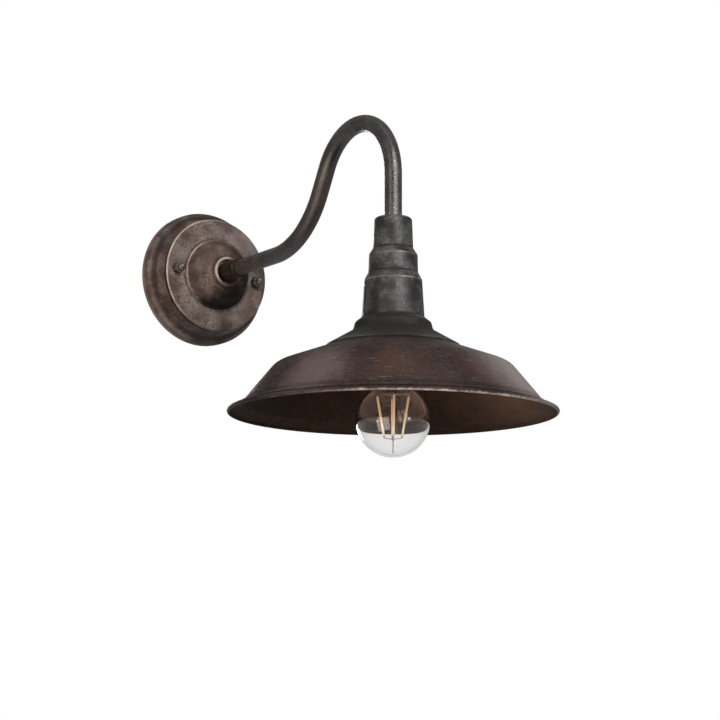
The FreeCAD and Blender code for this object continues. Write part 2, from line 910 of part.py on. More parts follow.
def earth_wire():
    """Short lead from the third pole to the ring tag on the bracket."""
    level = tag_barrel_level()
    barrel_low = earth_z - tag_radius - tag_neck - tag_barrel_length
    points = [
        V(pole_pitch, -pole_level, block_top - wire_insertion),
        V(pole_pitch, -pole_level, block_top + earth_wire_rise),
        V(earth_x, -level, barrel_low - earth_wire_lead),
        V(earth_x, -level, barrel_low + earth_wire_insertion),
    ]
    return swept(points, [0, earth_wire_bend, earth_wire_bend, 0], wire_radius)


# ---- neck and its fixing ----
def neck_housing():
    """Spun housing: three tapered tiers, each wider than the last, then a foot and a skirt."""
    outside = [
        (thread_radius + hole_clearance, -neck_top, 0),
        (tier1_radius, -neck_top, neck_top_round),
        (tier1_radius + tier1_taper, tier1_end, step_round),
        (tier2_radius, tier2_start, step_round),
        (tier2_radius + tier2_taper, tier2_end, step_round),
        (tier3_radius, tier3_start, step_round),
        (tier3_radius + tier3_taper, tier3_end, step_round),
        (foot_radius, foot_start, foot_round),
        (foot_radius + foot_taper, foot_end, skirt_round),
        (skirt_radius, skirt_end, 0),
    ]
    return at_lamp(turned(sheet(outside, -neck_wall)))


def arm_end_bush():
    """Threaded bush brazed into the arm's lower end."""
    return at_lamp(ring(thread_radius + socket_clearance, tube_radius - tube_wall - socket_clearance,
                        -neck_top, bush_length - neck_top))


def neck_nipple():
    """Hollow threaded rod that carries the neck and the lampholder."""
    return at_lamp(turned([
        (thread_bore, nipple_end, 0),
        (thread_radius, nipple_end, fine_edge),
        (thread_radius, bush_length - neck_top, fine_edge),
        (thread_bore, bush_length - neck_top, 0),
    ]))


def neck_lock_washer():
    """Washer under the neck's top."""
    top = -neck_top - neck_wall
    return at_lamp(ring(thread_radius + hole_clearance, washer_radius, top - washer_height, top))


def neck_lock_nut():
    """Nut that holds the neck up against the arm."""
    top = -neck_top - neck_wall - washer_height
    bore = thread_radius + socket_clearance
    return at_lamp(hex_nut(lock_nut_flats, bore, top - lock_nut_height, top))


# ---- lampholder ----
def holder_jam_nut():
    """Nut that stops the lampholder from turning on the nipple."""
    bore = thread_radius + socket_clearance
    return at_lamp(hex_nut(lock_nut_flats, bore, holder_top, holder_top + lock_nut_height))


def holder_cap():
    """Domed upper half of the lampholder, with the spigot that clamps the core."""
    inside = holder_radius - holder_joint_wall
    spigot_bore = core_radius - holder_joint_wall
    return at_lamp(turned([
        (thread_radius + socket_clearance, holder_top, 0),
        (holder_radius, holder_top, cap_round),
        (holder_radius, joint_level, 0),
        (inside - core_clearance, joint_level, 0),
        (inside - core_clearance, core_top, 0),
        (spigot_bore, core_top, 0),
        (spigot_bore, holder_top - cap_top, cap_inner_round),
        (thread_radius + socket_clearance, holder_top - cap_top, 0),
    ]))


def holder_skirt():
    """Lower half of the lampholder, threaded outside for the shade ring."""
    inside = holder_radius - holder_joint_wall
    return at_lamp(turned([
        (skirt_bore, mouth_level, soft_edge),
        (holder_radius, mouth_level, soft_edge),
        (holder_radius, joint_level, 0),
        (inside, joint_level, 0),
        (inside, core_bottom, 0),
        (skirt_bore, core_bottom, 0),
    ]))


def holder_core():
    """Ceramic core with a rivet hole under each terminal."""
    core = turned([
        (0, core_bottom, 0),
        (core_radius, core_bottom, fine_edge),
        (core_radius, core_top, fine_edge),
        (0, core_top, 0),
    ])
    for side in (-1, 1):
        place = V(side * terminal_offset, 0, core_bottom)
        core = core.cut(drill(rivet_radius + socket_clearance, place, core_height))
    return at_lamp(core)


def screw_shell():
    """Brass screw shell, with one tab that is riveted to the core."""
    wall = ring(shell_bore, shell_outside, mouth_level + shell_setback, core_bottom)
    tab = block(terminal_offset - shell_tab_reach, shell_bore + shell_wall / 2,
                -shell_tab_width / 2, shell_tab_width / 2, core_bottom - contact_thickness, core_bottom)
    foot = V(terminal_offset, 0, core_bottom - contact_thickness)
    hole = drill(rivet_radius + socket_clearance, foot, contact_thickness)
    return at_lamp(wall.fuse(tab).cut(hole).removeSplitter())


def centre_contact():
    """Sprung brass tongue that the bulb's eyelet meets."""
    low = contact_level + contact_thickness
    top = [
        (-terminal_offset - contact_foot, core_bottom, 0),
        (-terminal_offset + contact_foot, core_bottom, plain_edge),
        (contact_flat[0], low, contact_bend),
        (contact_flat[1], low, contact_bend),
        (contact_tip, low + contact_tip_rise, 0),
    ]
    tongue = flat_face(sheet(top, -contact_thickness)).extrude(V(0, contact_width, 0))
    tongue.translate(V(0, -contact_width / 2, 0))
    foot = V(-terminal_offset, 0, core_bottom - contact_thickness)
    return at_lamp(tongue.cut(drill(rivet_radius + socket_clearance, foot, contact_thickness)))


def contact_rivets():
    """Rivets that join each terminal to its contact under the core."""
    low = core_bottom - contact_thickness
    rivet = turned([
        (0, low - rivet_head_height, 0),
        (rivet_head_radius, low - rivet_head_height, fine_edge),
        (rivet_head_radius, low, 0),
        (rivet_radius, low, 0),
        (rivet_radius, core_top, 0),
        (0, core_top, 0),
    ])
    places = [V(side * terminal_offset, 0, 0) for side in (-1, 1)]
    return at_lamp(Part.makeCompound([rivet.translated(place) for place in places]))


def holder_screw_level():
    """Height of the clamp screws' axis."""
    return core_top + terminal_height * terminal_screw_share


def holder_terminals():
    """Brass blocks on the core, each with a hole for its wire and one for its screw."""
    half = terminal_size / 2
    half_width = half + terminal_extra_width / 2
    blocks = []
    for side in (-1, 1):
        x = side * terminal_offset
        top = core_top + terminal_height
        body = block(x - half, x + half, -half_width, half_width, core_top, top)
        floor = V(x, 0, core_top + terminal_floor)
        body = body.cut(rod(wire_radius + terminal_play, floor, V(x, 0, top + cut_past)))
        level = holder_screw_level()
        body = body.cut(rod(holder_screw_radius + socket_clearance, V(x, 0, level),
                            V(x + side * terminal_size, 0, level)))
        blocks.append(body)
    return at_lamp(Part.makeCompound(blocks))


def holder_screws():
    """Clamp screws that enter the terminals from the outside."""
    screws = []
    for side in (-1, 1):
        level = holder_screw_level()
        tip = terminal_offset + wire_radius + socket_clearance
        seat = terminal_offset + terminal_size / 2
        shank = rod(holder_screw_radius, V(side * tip, 0, level), V(side * seat, 0, level))
        end = seat + holder_screw_head_height
        head = rod(holder_screw_head, V(side * seat, 0, level), V(side * end, 0, level))
        screws.append(shank.fuse(head).removeSplitter())
    return at_lamp(Part.makeCompound(screws))


# ---- shade ----
def shade():
    """Spun barn shade: flat centre, shallow crown, steep side, turned-out lip, rolled rim."""
    outside = [
        (holder_radius + shade_hole_clearance, flat_level, 0),
        (flat_radius, flat_level, flat_round),
        (shoulder_radius, shoulder_level, shoulder_blend),
        (lip_start_radius, lip_level, lip_blend),
        (bead_radius, rim_level + lip_slope * rim_bead, 0),
    ]
    spun = turned(sheet(outside, -shade_wall))
    bead = Part.makeTorus(bead_radius, rim_bead, V(0, 0, rim_level))
    return at_lamp(spun.fuse(bead).removeSplitter())


def shade_ring():
    """Threaded ring with finger notches that clamps the shade up against the neck's skirt."""
    top = flat_level - shade_wall
    bore = holder_radius + socket_clearance
    body = turned([
        (bore, top - ring_height, 0),
        (holder_radius + ring_collar, top - ring_height, soft_edge),
        (holder_radius + ring_collar, top - ring_flange_height, plain_edge),
        (ring_radius, top - ring_flange_height, plain_edge),
        (ring_radius, top, plain_edge),
        (bore, top, 0),
    ])
    for i in range(ring_notches):
        angle = 2 * math.pi * i / ring_notches
        place = V(math.cos(angle), math.sin(angle), 0) * (ring_radius + ring_notch_offset)
        place.z = top - ring_height
        body = body.cut(drill(ring_notch_radius, place, ring_height))
    return at_lamp(body)


# ---- bulb ----
def glass_side(inset):
    """Solid that fills the bulb's outline, drawn in from the outside by inset."""
    globe = globe_radius - inset
    blend = glass_neck_blend + inset
    neck = glass_neck_radius - inset
    root = glass_root_radius - inset
    top = flare_level
    neck_start = bulb_cap_bottom - glass_root_gap
    blend_rise = math.sqrt((globe + blend) ** 2 - (neck + blend) ** 2)
    blend_level = globe_level + blend_rise
    share = globe / (globe + blend)
    tangent = V(share * (neck + blend), 0, globe_level + share * blend_rise)
    slant = math.atan2(blend_rise, neck + blend)
    mid_blend = math.pi + slant / 2
    blend_mid = V(neck + blend + blend * math.cos(mid_blend), 0, blend_level + blend * math.sin(mid_blend))
    mid_globe = (slant - math.pi / 2) / 2
    globe_mid = V(globe * math.cos(mid_globe), 0, globe_level + globe * math.sin(mid_globe))
    bottom = V(0, 0, globe_level - globe)
    blend_start = V(neck, 0, blend_level)
    shoulder = V(neck, 0, neck_start - glass_neck_step)
    root_end = V(root, 0, neck_start)
    edges = [
        Part.LineSegment(V(0, 0, top), V(root, 0, top)).toShape(),
        Part.LineSegment(V(root, 0, top), root_end).toShape(),
        Part.LineSegment(root_end, shoulder).toShape(),
        Part.LineSegment(shoulder, blend_start).toShape(),
        Part.Arc(blend_start, blend_mid, tangent).toShape(),
        Part.Arc(tangent, globe_mid, bottom).toShape(),
        Part.LineSegment(bottom, V(0, 0, top)).toShape(),
    ]
    return Part.Face(Part.Wire(edges)).revolve(V(0, 0, 0), V(0, 0, 1), 360)


def bulb_glass():
    """Blown envelope with its neck inside the cap."""
    return at_lamp(glass_side(0).cut(glass_side(glass_wall)))


def bulb_cap():
    """Screw cap; its thread is drawn as a plain cylinder."""
    outside = [
        (bulb_cap_radius - insulator_shoulder, bulb_cap_top, 0),
        (bulb_cap_radius, bulb_cap_top - bulb_cap_crown, bulb_cap_round),
        (bulb_cap_radius, bulb_cap_bottom, 0),
    ]
    return at_lamp(turned(sheet(outside, -bulb_cap_wall)))


def bulb_insulator():
    """Black glass cone between the cap and the eyelet."""
    wide = bulb_cap_radius - insulator_shoulder
    return at_lamp(turned([
        (0, bulb_cap_top, 0),
        (wide, bulb_cap_top, 0),
        (wide - insulator_step, bulb_cap_top + insulator_step_height, plain_edge),
        (eyelet_radius + contact_ledge, insulator_top, plain_edge),
        (0, insulator_top, 0),
    ]))


def bulb_eyelet():
    """Foot contact at the middle of the insulator."""
    return at_lamp(turned([
        (0, insulator_top, 0),
        (eyelet_radius, insulator_top, 0),
        (eyelet_radius - contact_ledge, eyelet_top, plain_edge),
        (0, eyelet_top, 0),
    ]))


def bulb_stem():
    """Glass flare sealed into the bulb's neck, drawn out to a stem."""
    flare = glass_root_radius - glass_wall - socket_clearance
    neck_level = flare_level - flare_height
    return at_lamp(turned([
        (0, flare_level - flare_dish, 0),
        (flare - flare_lip, flare_level, 0),
        (flare, flare_level, 0),
        (flare, flare_level - flare_lip, 0),
        (stem_radius + stem_flare, neck_level, flare_round),
        (stem_radius, stem_end, stem_round),
        (0, stem_end, 0),
    ]))


def driver_board():
    """Round circuit board inside the cap, with a hole for the lead."""
    top = bulb_cap_top - board_depth
    radius = bulb_cap_radius - bulb_cap_wall - board_clearance
    return at_lamp(ring(board_hole, radius, top - board_thickness, top))


def filament_directions():
    """Unit vectors from the bulb's axis to each filament."""
    directions = []
    for i in range(filament_count):
        angle = math.radians(filament_turn) + 2 * math.pi * i / filament_count
        directions.append(V(math.cos(angle), math.sin(angle), 0))
    return directions


def filament_ends(direction):
    """Top and foot of the filament that stands in a direction."""
    top = direction * filament_top_circle + V(0, 0, filament_top)
    foot = direction * filament_foot_circle + V(0, 0, filament_foot)
    return top, foot


def led_filaments():
    """Slanting rods that spread towards the cap."""
    rods = []
    for direction in filament_directions():
        top, foot = filament_ends(direction)
        rods.append(rod(filament_radius, top, foot))
    return at_lamp(Part.makeCompound(rods))


def bent_wire(start, corner, end):
    """Wire with one sharp bend."""
    wire = rod(support_radius, start, corner).fuse(rod(support_radius, end, corner))
    return wire.fuse(Part.makeSphere(support_radius, corner))


def filament_leads():
    """Wires from the stem's end out to the tops of the filaments."""
    leads = []
    for direction in filament_directions():
        top, foot = filament_ends(direction)
        along = (top - foot).normalize()
        tip = top + along * socket_clearance
        corner = top + along * support_run
        start = direction * lead_circle + V(0, 0, stem_end - support_radius)
        leads.append(bent_wire(start, corner, tip).removeSplitter())
    return at_lamp(Part.makeCompound(leads))


def filament_rod():
    """Rod from the stem through the middle of the filaments, with an arm to each foot."""
    hub = filament_foot - hub_drop
    frame = rod(rod_radius, V(0, 0, stem_end - socket_clearance), V(0, 0, hub - rod_below))
    for direction in filament_directions():
        top, foot = filament_ends(direction)
        along = (foot - top).normalize()
        tip = foot + along * socket_clearance
        corner = foot + along * foot_run
        frame = frame.fuse(bent_wire(tip, corner, V(0, 0, hub)))
    return at_lamp(frame.removeSplitter())


PIECES = {
    "canopy_shell": canopy_shell,
    "canopy_boss": canopy_boss,
    "arm_ferrule": arm_ferrule,
    "arm_lock_washer": arm_lock_washer,
    "arm_lock_nut": arm_lock_nut,
    "arm_tube": arm_tube,
    "wall_bracket": wall_bracket,
    "bracket_studs": bracket_studs,
    "stud_nuts": stud_nuts,
    "cap_washers": cap_washers,
    "cap_nuts": cap_nuts,
    "earth_stud": earth_stud,
    "earth_nut": earth_nut,
    "earth_tag": earth_tag,
    "terminal_block": terminal_block,
    "terminal_inserts": terminal_inserts,
    "clamp_screws": clamp_screws,
    "block_screws": block_screws,
    "live_wire": live_wire,
    "neutral_wire": neutral_wire,
    "earth_wire": earth_wire,
    "neck_housing": neck_housing,
    "arm_end_bush": arm_end_bush,
    "neck_nipple": neck_nipple,
    "neck_lock_washer": neck_lock_washer,
    "neck_lock_nut": neck_lock_nut,
    "holder_jam_nut": holder_jam_nut,
    "holder_cap": holder_cap,
    "holder_skirt": holder_skirt,
    "holder_core": holder_core,
    "screw_shell": screw_shell,
    "centre_contact": centre_contact,
    "contact_rivets": contact_rivets,
    "holder_terminals": holder_terminals,
    "holder_screws": holder_screws,
    "shade": shade,
    "shade_ring": shade_ring,
    "bulb_glass": bulb_glass,
    "bulb_cap": bulb_cap,
    "bulb_insulator": bulb_insulator,
    "bulb_eyelet": bulb_eyelet,
    "bulb_stem": bulb_stem,
    "driver_board": driver_board,
    "led_filaments": led_filaments,
    "filament_leads": filament_leads,
    "filament_rod": filament_rod,
}

os.makedirs("parts", exist_ok=True)
for name, make in PIECES.items():
    piece = make()
    piece.exportStep(f"parts/{name}.step")
    print(f"{name}: {len(piece.Solids)} solids, valid {piece.isValid()}, volume {piece.Volume:.1f}")
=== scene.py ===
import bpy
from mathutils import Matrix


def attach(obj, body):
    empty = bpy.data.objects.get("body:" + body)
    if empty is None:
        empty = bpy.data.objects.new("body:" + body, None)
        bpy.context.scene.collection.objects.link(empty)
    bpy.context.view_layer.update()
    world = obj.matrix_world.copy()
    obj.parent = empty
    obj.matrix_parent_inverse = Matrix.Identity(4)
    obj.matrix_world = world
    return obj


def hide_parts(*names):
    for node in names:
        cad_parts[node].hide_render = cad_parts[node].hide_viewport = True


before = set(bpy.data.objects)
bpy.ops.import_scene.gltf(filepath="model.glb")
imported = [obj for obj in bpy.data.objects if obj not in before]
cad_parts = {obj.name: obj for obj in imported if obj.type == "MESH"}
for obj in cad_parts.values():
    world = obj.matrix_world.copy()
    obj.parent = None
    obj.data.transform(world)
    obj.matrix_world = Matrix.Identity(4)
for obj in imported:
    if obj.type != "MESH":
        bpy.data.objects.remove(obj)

"""Dresses a gooseneck wall sconce.

Its canopy and barn shade are in rust-effect lacquer, its arm and neck in charcoal lacquer, and a
globe bulb with four filaments is screwed in. Lengths in the classes are in millimetres, heights on
wall pieces are distances from the wall, and heights on lamp pieces are Z in the frame. The frame
itself and all meshes are in metres.
"""
import logging
import math
from collections.abc import Callable, Iterable, Sequence
from dataclasses import dataclass
from enum import Enum

import bmesh
import bpy
from mathutils import Matrix, Vector

MM = 0.001
REACH = 310.0
LOG = logging.getLogger("sconce")

Colour = tuple[float, float, float]
Corner = tuple[float, float, float]
Point = tuple[float, float]


class Body(Enum):
    """Bodies of the frame that a piece can ride on."""

    FIXTURE = "fixture"
    BULB_FOOT = "bulb_foot"
    BULB = "bulb"


class Ray(Enum):
    """Rays that see the white surroundings instead of the soft light."""

    CAMERA = "Is Camera Ray"
    GLOSSY = "Is Glossy Ray"
    TRANSMISSION = "Is Transmission Ray"


class Turning(Enum):
    """Axes that pieces are turned about, as a rotation and a shift that bring the axis onto Z."""

    WALL = ((-math.pi / 2, 0.0, 0.0), (0.0, 0.0, 0.0))
    LAMP = ((0.0, 0.0, 0.0), (0.0, REACH, 0.0))


@dataclass(frozen=True)
class Band:
    """A ring on a turned surface that is rubbed or dirty, or painted as a highlight or as shade.

    Attributes:
        radius: Distance from the axis, in millimetres.
        height: Height along the axis.
        reach: How far the mark spreads from the ring.
        amount: How strong it is.
        broken: How far it breaks into patches, from 0 to 1.
    """

    radius: float
    height: float
    reach: float
    amount: float = 1.0
    broken: float = 0.2


@dataclass(frozen=True)
class Stain:
    """A cloudy patch round one place.

    Attributes:
        place: Its middle, in millimetres.
        reach: How far it spreads.
        colour: Its colour.
        amount: How strong it is.
    """

    place: Corner
    reach: float
    colour: Colour
    amount: float


def srgb(code: str) -> Colour:
    """Turn a colour written as six hexadecimal digits into linear light.

    Args:
        code: Six hexadecimal digits.

    Returns:
        Red, green and blue in linear light.
    """
    parts = [int(code[i:i + 2], 16) / 255 for i in (0, 2, 4)]
    linear = [p / 12.92 if p <= 0.04045 else ((p + 0.055) / 1.055) ** 2.4 for p in parts]
    return (linear[0], linear[1], linear[2])


# ---------------------------------------------------------------- shader sketching
class Sketch:
    """Short-hand for drawing a node tree."""

    def __init__(self, tree: bpy.types.NodeTree) -> None:
        """Start on an empty tree."""
        self.tree = tree
        self.tree.nodes.clear()

    def add(self, kind: str, **settings: object) -> bpy.types.Node:
        """Add a node and set its properties.

        Args:
            kind: Blender's node type without the ShaderNode prefix.
            settings: Properties to set on the node.

        Returns:
            The new node.
        """
        prefix = "" if kind.startswith("Node") else "ShaderNode"
        node = self.tree.nodes.new(prefix + kind)
        for key, value in settings.items():
            setattr(node, key, value)
        return node

    def feed(self, socket: bpy.types.NodeSocket, value: object) -> None:
        """Link a socket into another, or set it to a plain value.

        Args:
            socket: The input to feed.
            value: A socket, a number or a colour.
        """
        if isinstance(value, bpy.types.NodeSocket):
            self.tree.links.new(value, socket)
        elif isinstance(value, tuple) and len(value) == 3 and socket.type == "RGBA":
            socket.default_value = (*value, 1.0)
        else:
            socket.default_value = value

    def place(self, axis: Turning | None = None) -> bpy.types.NodeSocket:
        """Object coordinates in millimetres.

        Args:
            axis: A turning axis to bring onto Z, where the pattern follows one.

        Returns:
            The vector socket.
        """
        source = self.add("TexCoord").outputs["Object"]
        mapping = self.add("Mapping")
        self.feed(mapping.inputs["Vector"], source)
        mapping.inputs["Scale"].default_value = [1.0 / MM] * 3
        if axis:
            rotation, shift = axis.value
            mapping.inputs["Rotation"].default_value = rotation
            mapping.inputs["Location"].default_value = shift
        return mapping.outputs["Vector"]

    def noise(self, vector: bpy.types.NodeSocket, size: object, detail: float = 3.0,
              rough: float = 0.55) -> bpy.types.NodeSocket:
        """Noise whose grains are about size millimetres.

        Args:
            vector: Coordinates in millimetres.
            size: Grain size, a number or a socket.
            detail: Octaves.
            rough: How strong the finer octaves are.

        Returns:
            The factor socket.
        """
        node = self.add("TexNoise")
        self.feed(node.inputs["Vector"], vector)
        linked = isinstance(size, bpy.types.NodeSocket)
        self.feed(node.inputs["Scale"], self.maths("DIVIDE", 1.0, size) if linked else 1.0 / size)
        node.inputs["Detail"].default_value = detail
        node.inputs["Roughness"].default_value = rough
        return node.outputs["Fac"]

    def maths(self, operation: str, first: object, second: object = 0.0,
              third: object = None) -> bpy.types.NodeSocket:
        """One arithmetic step.

        Args:
            operation: Blender's name for it.
            first: A number or a socket.
            second: A number or a socket.
            third: What MULTIPLY_ADD adds.

        Returns:
            The result.
        """
        node = self.add("Math", operation=operation)
        self.feed(node.inputs[0], first)
        self.feed(node.inputs[1], second)
        if third is not None:
            self.feed(node.inputs[2], third)
        return node.outputs[0]

    def window(self, value: object, low: object, high: object) -> bpy.types.NodeSocket:
        """Zero below low, one above high, smooth between.

        Args:
            value: The value to judge.
            low: Where the result leaves zero.
            high: Where it reaches one.

        Returns:
            The result.
        """
        node = self.add("MapRange", interpolation_type="SMOOTHSTEP")
        self.feed(node.inputs["Value"], value)
        self.feed(node.inputs["From Min"], low)
        self.feed(node.inputs["From Max"], high)
        return node.outputs["Result"]

    def blend(self, factor: object, first: object, second: object) -> bpy.types.NodeSocket:
        """Mix two colours.

        Args:
            factor: The second colour's share.
            first: A colour or a socket.
            second: A colour or a socket.

        Returns:
            The mixed colour.
        """
        node = self.add("Mix", data_type="RGBA", blend_type="MIX")
        self.feed(node.inputs[0], factor)
        self.feed(node.inputs[6], first)
        self.feed(node.inputs[7], second)
        return node.outputs[2]

    def layer(self, tone: object, colour: object, mask: object,
              amount: float) -> bpy.types.NodeSocket:
        """Lay a colour over a tone where a mask is set."""
        return self.blend(self.maths("MULTIPLY", mask, amount), tone, colour)

    def axis(self, vector: bpy.types.NodeSocket, name: str) -> bpy.types.NodeSocket:
        """One component of a vector.

        Args:
            vector: The vector.
            name: X, Y or Z.

        Returns:
            The component.
        """
        node = self.add("SeparateXYZ")
        self.feed(node.inputs[0], vector)
        return node.outputs[name]

    def use(self, group: bpy.types.NodeTree, **values: object) -> bpy.types.NodeSocket:
        """Place a shader group with its own values.

        Args:
            group: The node group.
            values: Its input values.

        Returns:
            The group's one output.
        """
        node = self.add("Group", node_tree=group)
        for key, value in values.items():
            self.feed(node.inputs[key], value)
        return node.outputs[0]


GroupParts = tuple[Sketch, bpy.types.Node, bpy.types.Node]


class Effects:
    """The shader groups that more than one finish uses, each built once."""

    def __init__(self) -> None:
        """Build every group."""
        self.speckle = self._speckle()
        self.clouds = self._clouds()
        self.edge_rub = self._edge_rub()
        self.scuffs = self._scuffs()
        self.pitting = self._pitting()
        self.band = self._band()
        self.stain = self._stain()

    @staticmethod
    def _start(name: str, numbers: dict[str, float], result: str = "Mask") -> GroupParts:
        """Open a group with number inputs and one number output.

        Args:
            name: The group's name.
            numbers: Input names with their usual values.
            result: The output's name.

        Returns:
            The sketch, the input node and the output node.
        """
        tree = bpy.data.node_groups.new(name, "ShaderNodeTree")
        for key, value in numbers.items():
            item = tree.interface.new_socket(name=key, in_out="INPUT",
                                             socket_type="NodeSocketFloat")
            item.default_value = value
        tree.interface.new_socket(name=result, in_out="OUTPUT", socket_type="NodeSocketFloat")
        sketch = Sketch(tree)
        return sketch, sketch.add("NodeGroupInput"), sketch.add("NodeGroupOutput")

    def _speckle(self) -> bpy.types.NodeTree:
        """Small flecks that gather in drifts.

        Returns:
            The group.
        """
        sketch, given, out = self._start("flecks", {"Size": 1.0, "Drift": 12.0, "Cover": 0.5})
        here = sketch.place()
        fleck = sketch.noise(here, given.outputs["Size"], 2.0, 0.6)
        drift = sketch.noise(here, given.outputs["Drift"], 2.0)
        level = sketch.maths("SUBTRACT", 1.0, given.outputs["Cover"])
        low = sketch.maths("MULTIPLY_ADD", level, 0.5, 0.28)
        grain = sketch.window(fleck, low, sketch.maths("ADD", low, 0.1))
        gather = sketch.window(drift, 0.38, 0.62)
        sketch.feed(out.inputs["Mask"], sketch.maths("MULTIPLY", grain, gather))
        return sketch.tree

    def _clouds(self) -> bpy.types.NodeTree:
        """Soft patches of another tone.

        Returns:
            The group.
        """
        sketch, given, out = self._start("clouds", {"Size": 30.0, "Edge": 0.12, "Shift": 0.0})
        cloud = sketch.noise(sketch.place(), given.outputs["Size"], 4.0, 0.6)
        low = sketch.maths("SUBTRACT", 0.5, given.outputs["Edge"])
        high = sketch.maths("ADD", 0.5, given.outputs["Edge"])
        shifted = sketch.maths("ADD", cloud, given.outputs["Shift"])
        sketch.feed(out.inputs["Mask"], sketch.window(shifted, low, high))
        return sketch.tree

    def _edge_rub(self) -> bpy.types.NodeTree:
        """Lacquer rubbed off raised edges, broken up by a fine grain.

        Returns:
            The group.
        """
        sketch, given, out = self._start("edge rub", {"Start": 0.52, "Reach": 0.08, "Grain": 3.0})
        point = sketch.add("NewGeometry").outputs["Pointiness"]
        grain = sketch.noise(sketch.place(), given.outputs["Grain"], 4.0, 0.7)
        worn = sketch.maths("ADD", point, sketch.maths("MULTIPLY_ADD", grain, 0.06, -0.03))
        end = sketch.maths("ADD", given.outputs["Start"], given.outputs["Reach"])
        sketch.feed(out.inputs["Mask"], sketch.window(worn, given.outputs["Start"], end))
        return sketch.tree

    def _scuffs(self) -> bpy.types.NodeTree:
        """Level streaks left by spinning and polishing.

        Returns:
            The group.
        """
        sketch, given, out = self._start("scuffs", {"Length": 14.0, "Width": 0.8, "Cover": 0.4})
        here = sketch.place()
        split = sketch.add("SeparateXYZ")
        sketch.feed(split.inputs[0], here)
        drawn = sketch.add("CombineXYZ")
        for index, length in enumerate(("Length", "Length", "Width")):
            part = sketch.maths("DIVIDE", split.outputs[index], given.outputs[length])
            sketch.feed(drawn.inputs[index], part)
        streak = sketch.noise(drawn.outputs[0], 1.0, 3.0, 0.6)
        low = sketch.maths("MULTIPLY_ADD", given.outputs["Cover"], -0.4, 0.74)
        line = sketch.window(streak, low, sketch.maths("ADD", low, 0.12))
        gather = sketch.window(sketch.noise(here, 9.0, 2.0), 0.45, 0.62)
        sketch.feed(out.inputs["Mask"], sketch.maths("MULTIPLY", line, gather))
        return sketch.tree

    def _band(self) -> bpy.types.NodeTree:
        """A broken ring round a turned piece's axis.

        Returns:
            The group.
        """
        sketch, given, out = self._start(
            "ring band", {"Radius": 1.0, "Height": 0.0, "Reach": 1.0, "Broken": 0.3})
        self._add_place(sketch)
        split = sketch.add("SeparateXYZ")
        sketch.feed(split.inputs[0], given.outputs["Place"])
        radius = self._length(sketch, split.outputs[0], split.outputs[1])
        distance = self._length(
            sketch, sketch.maths("SUBTRACT", radius, given.outputs["Radius"]),
            sketch.maths("SUBTRACT", split.outputs[2], given.outputs["Height"]))
        mask = self._fade(sketch, distance, given.outputs["Reach"], 2.5, 4.0)
        patches = sketch.window(sketch.noise(sketch.place(), 15.0, 3.0), 0.42, 0.6)
        bare = sketch.maths("SUBTRACT", 1.0, patches)
        gap = sketch.maths("MULTIPLY", bare, given.outputs["Broken"])
        kept = sketch.maths("SUBTRACT", 1.0, gap)
        sketch.feed(out.inputs["Mask"], sketch.maths("MULTIPLY", mask, kept))
        return sketch.tree

    def _stain(self) -> bpy.types.NodeTree:
        """A cloudy patch round one place.

        Returns:
            The group.
        """
        sketch, given, out = self._start("stain", {"Reach": 20.0})
        self._add_place(sketch)
        distance = sketch.add("VectorMath", operation="DISTANCE")
        sketch.feed(distance.inputs[0], sketch.place())
        sketch.feed(distance.inputs[1], given.outputs["Place"])
        mask = self._fade(sketch, distance.outputs["Value"], given.outputs["Reach"], 20.0, 9.0)
        sketch.feed(out.inputs["Mask"], mask)
        return sketch.tree

    def _pitting(self) -> bpy.types.NodeTree:
        """Height of a cast or sprayed surface: fine sand with wider dimples.

        Returns:
            The group.
        """
        sketch, given, out = self._start("pitting", {"Sand": 0.7, "Dimple": 3.5, "Depth": 0.5},
                                         "Height")
        here = sketch.place()
        sand = sketch.noise(here, given.outputs["Sand"], 3.0, 0.6)
        dimple = sketch.noise(here, given.outputs["Dimple"], 2.0)
        deep = sketch.maths("MULTIPLY", dimple, given.outputs["Depth"])
        sketch.feed(out.inputs["Height"], sketch.maths("ADD", sand, deep))
        return sketch.tree

    @staticmethod
    def _add_place(sketch: Sketch) -> None:
        """Give a group a vector input called Place."""
        sketch.tree.interface.new_socket(name="Place", in_out="INPUT",
                                         socket_type="NodeSocketVector")

    @staticmethod
    def _length(sketch: Sketch, first: object, second: object) -> bpy.types.NodeSocket:
        """Length of a vector with two parts.

        Args:
            sketch: The group's tree.
            first: One part.
            second: The other part.

        Returns:
            The length.
        """
        joined = sketch.add("CombineXYZ")
        sketch.feed(joined.inputs[0], first)
        sketch.feed(joined.inputs[1], second)
        length = sketch.add("VectorMath", operation="LENGTH")
        sketch.feed(length.inputs[0], joined.outputs[0])
        return length.outputs["Value"]

    @staticmethod
    def _fade(sketch: Sketch, distance: bpy.types.NodeSocket, reach: bpy.types.NodeSocket,
              widest: float, grain: float) -> bpy.types.NodeSocket:
        """Turn a distance into a mask with a ragged edge.

        Args:
            sketch: The group's tree.
            distance: Distance from the middle of the mark, in millimetres.
            reach: Distance at which the mark ends.
            widest: Reach past which the edge strays no further.
            grain: Size of the rags.

        Returns:
            The mask, one in the middle of the mark.
        """
        rags = sketch.maths("MULTIPLY", sketch.maths("MINIMUM", reach, widest), 1.4)
        noise = sketch.maths("SUBTRACT", sketch.noise(sketch.place(), grain, 4.0, 0.65), 0.5)
        worn = sketch.maths("ADD", distance, sketch.maths("MULTIPLY", noise, rags))
        start = sketch.maths("MULTIPLY", reach, 0.25)
        return sketch.maths("SUBTRACT", 1.0, sketch.window(worn, start, reach))


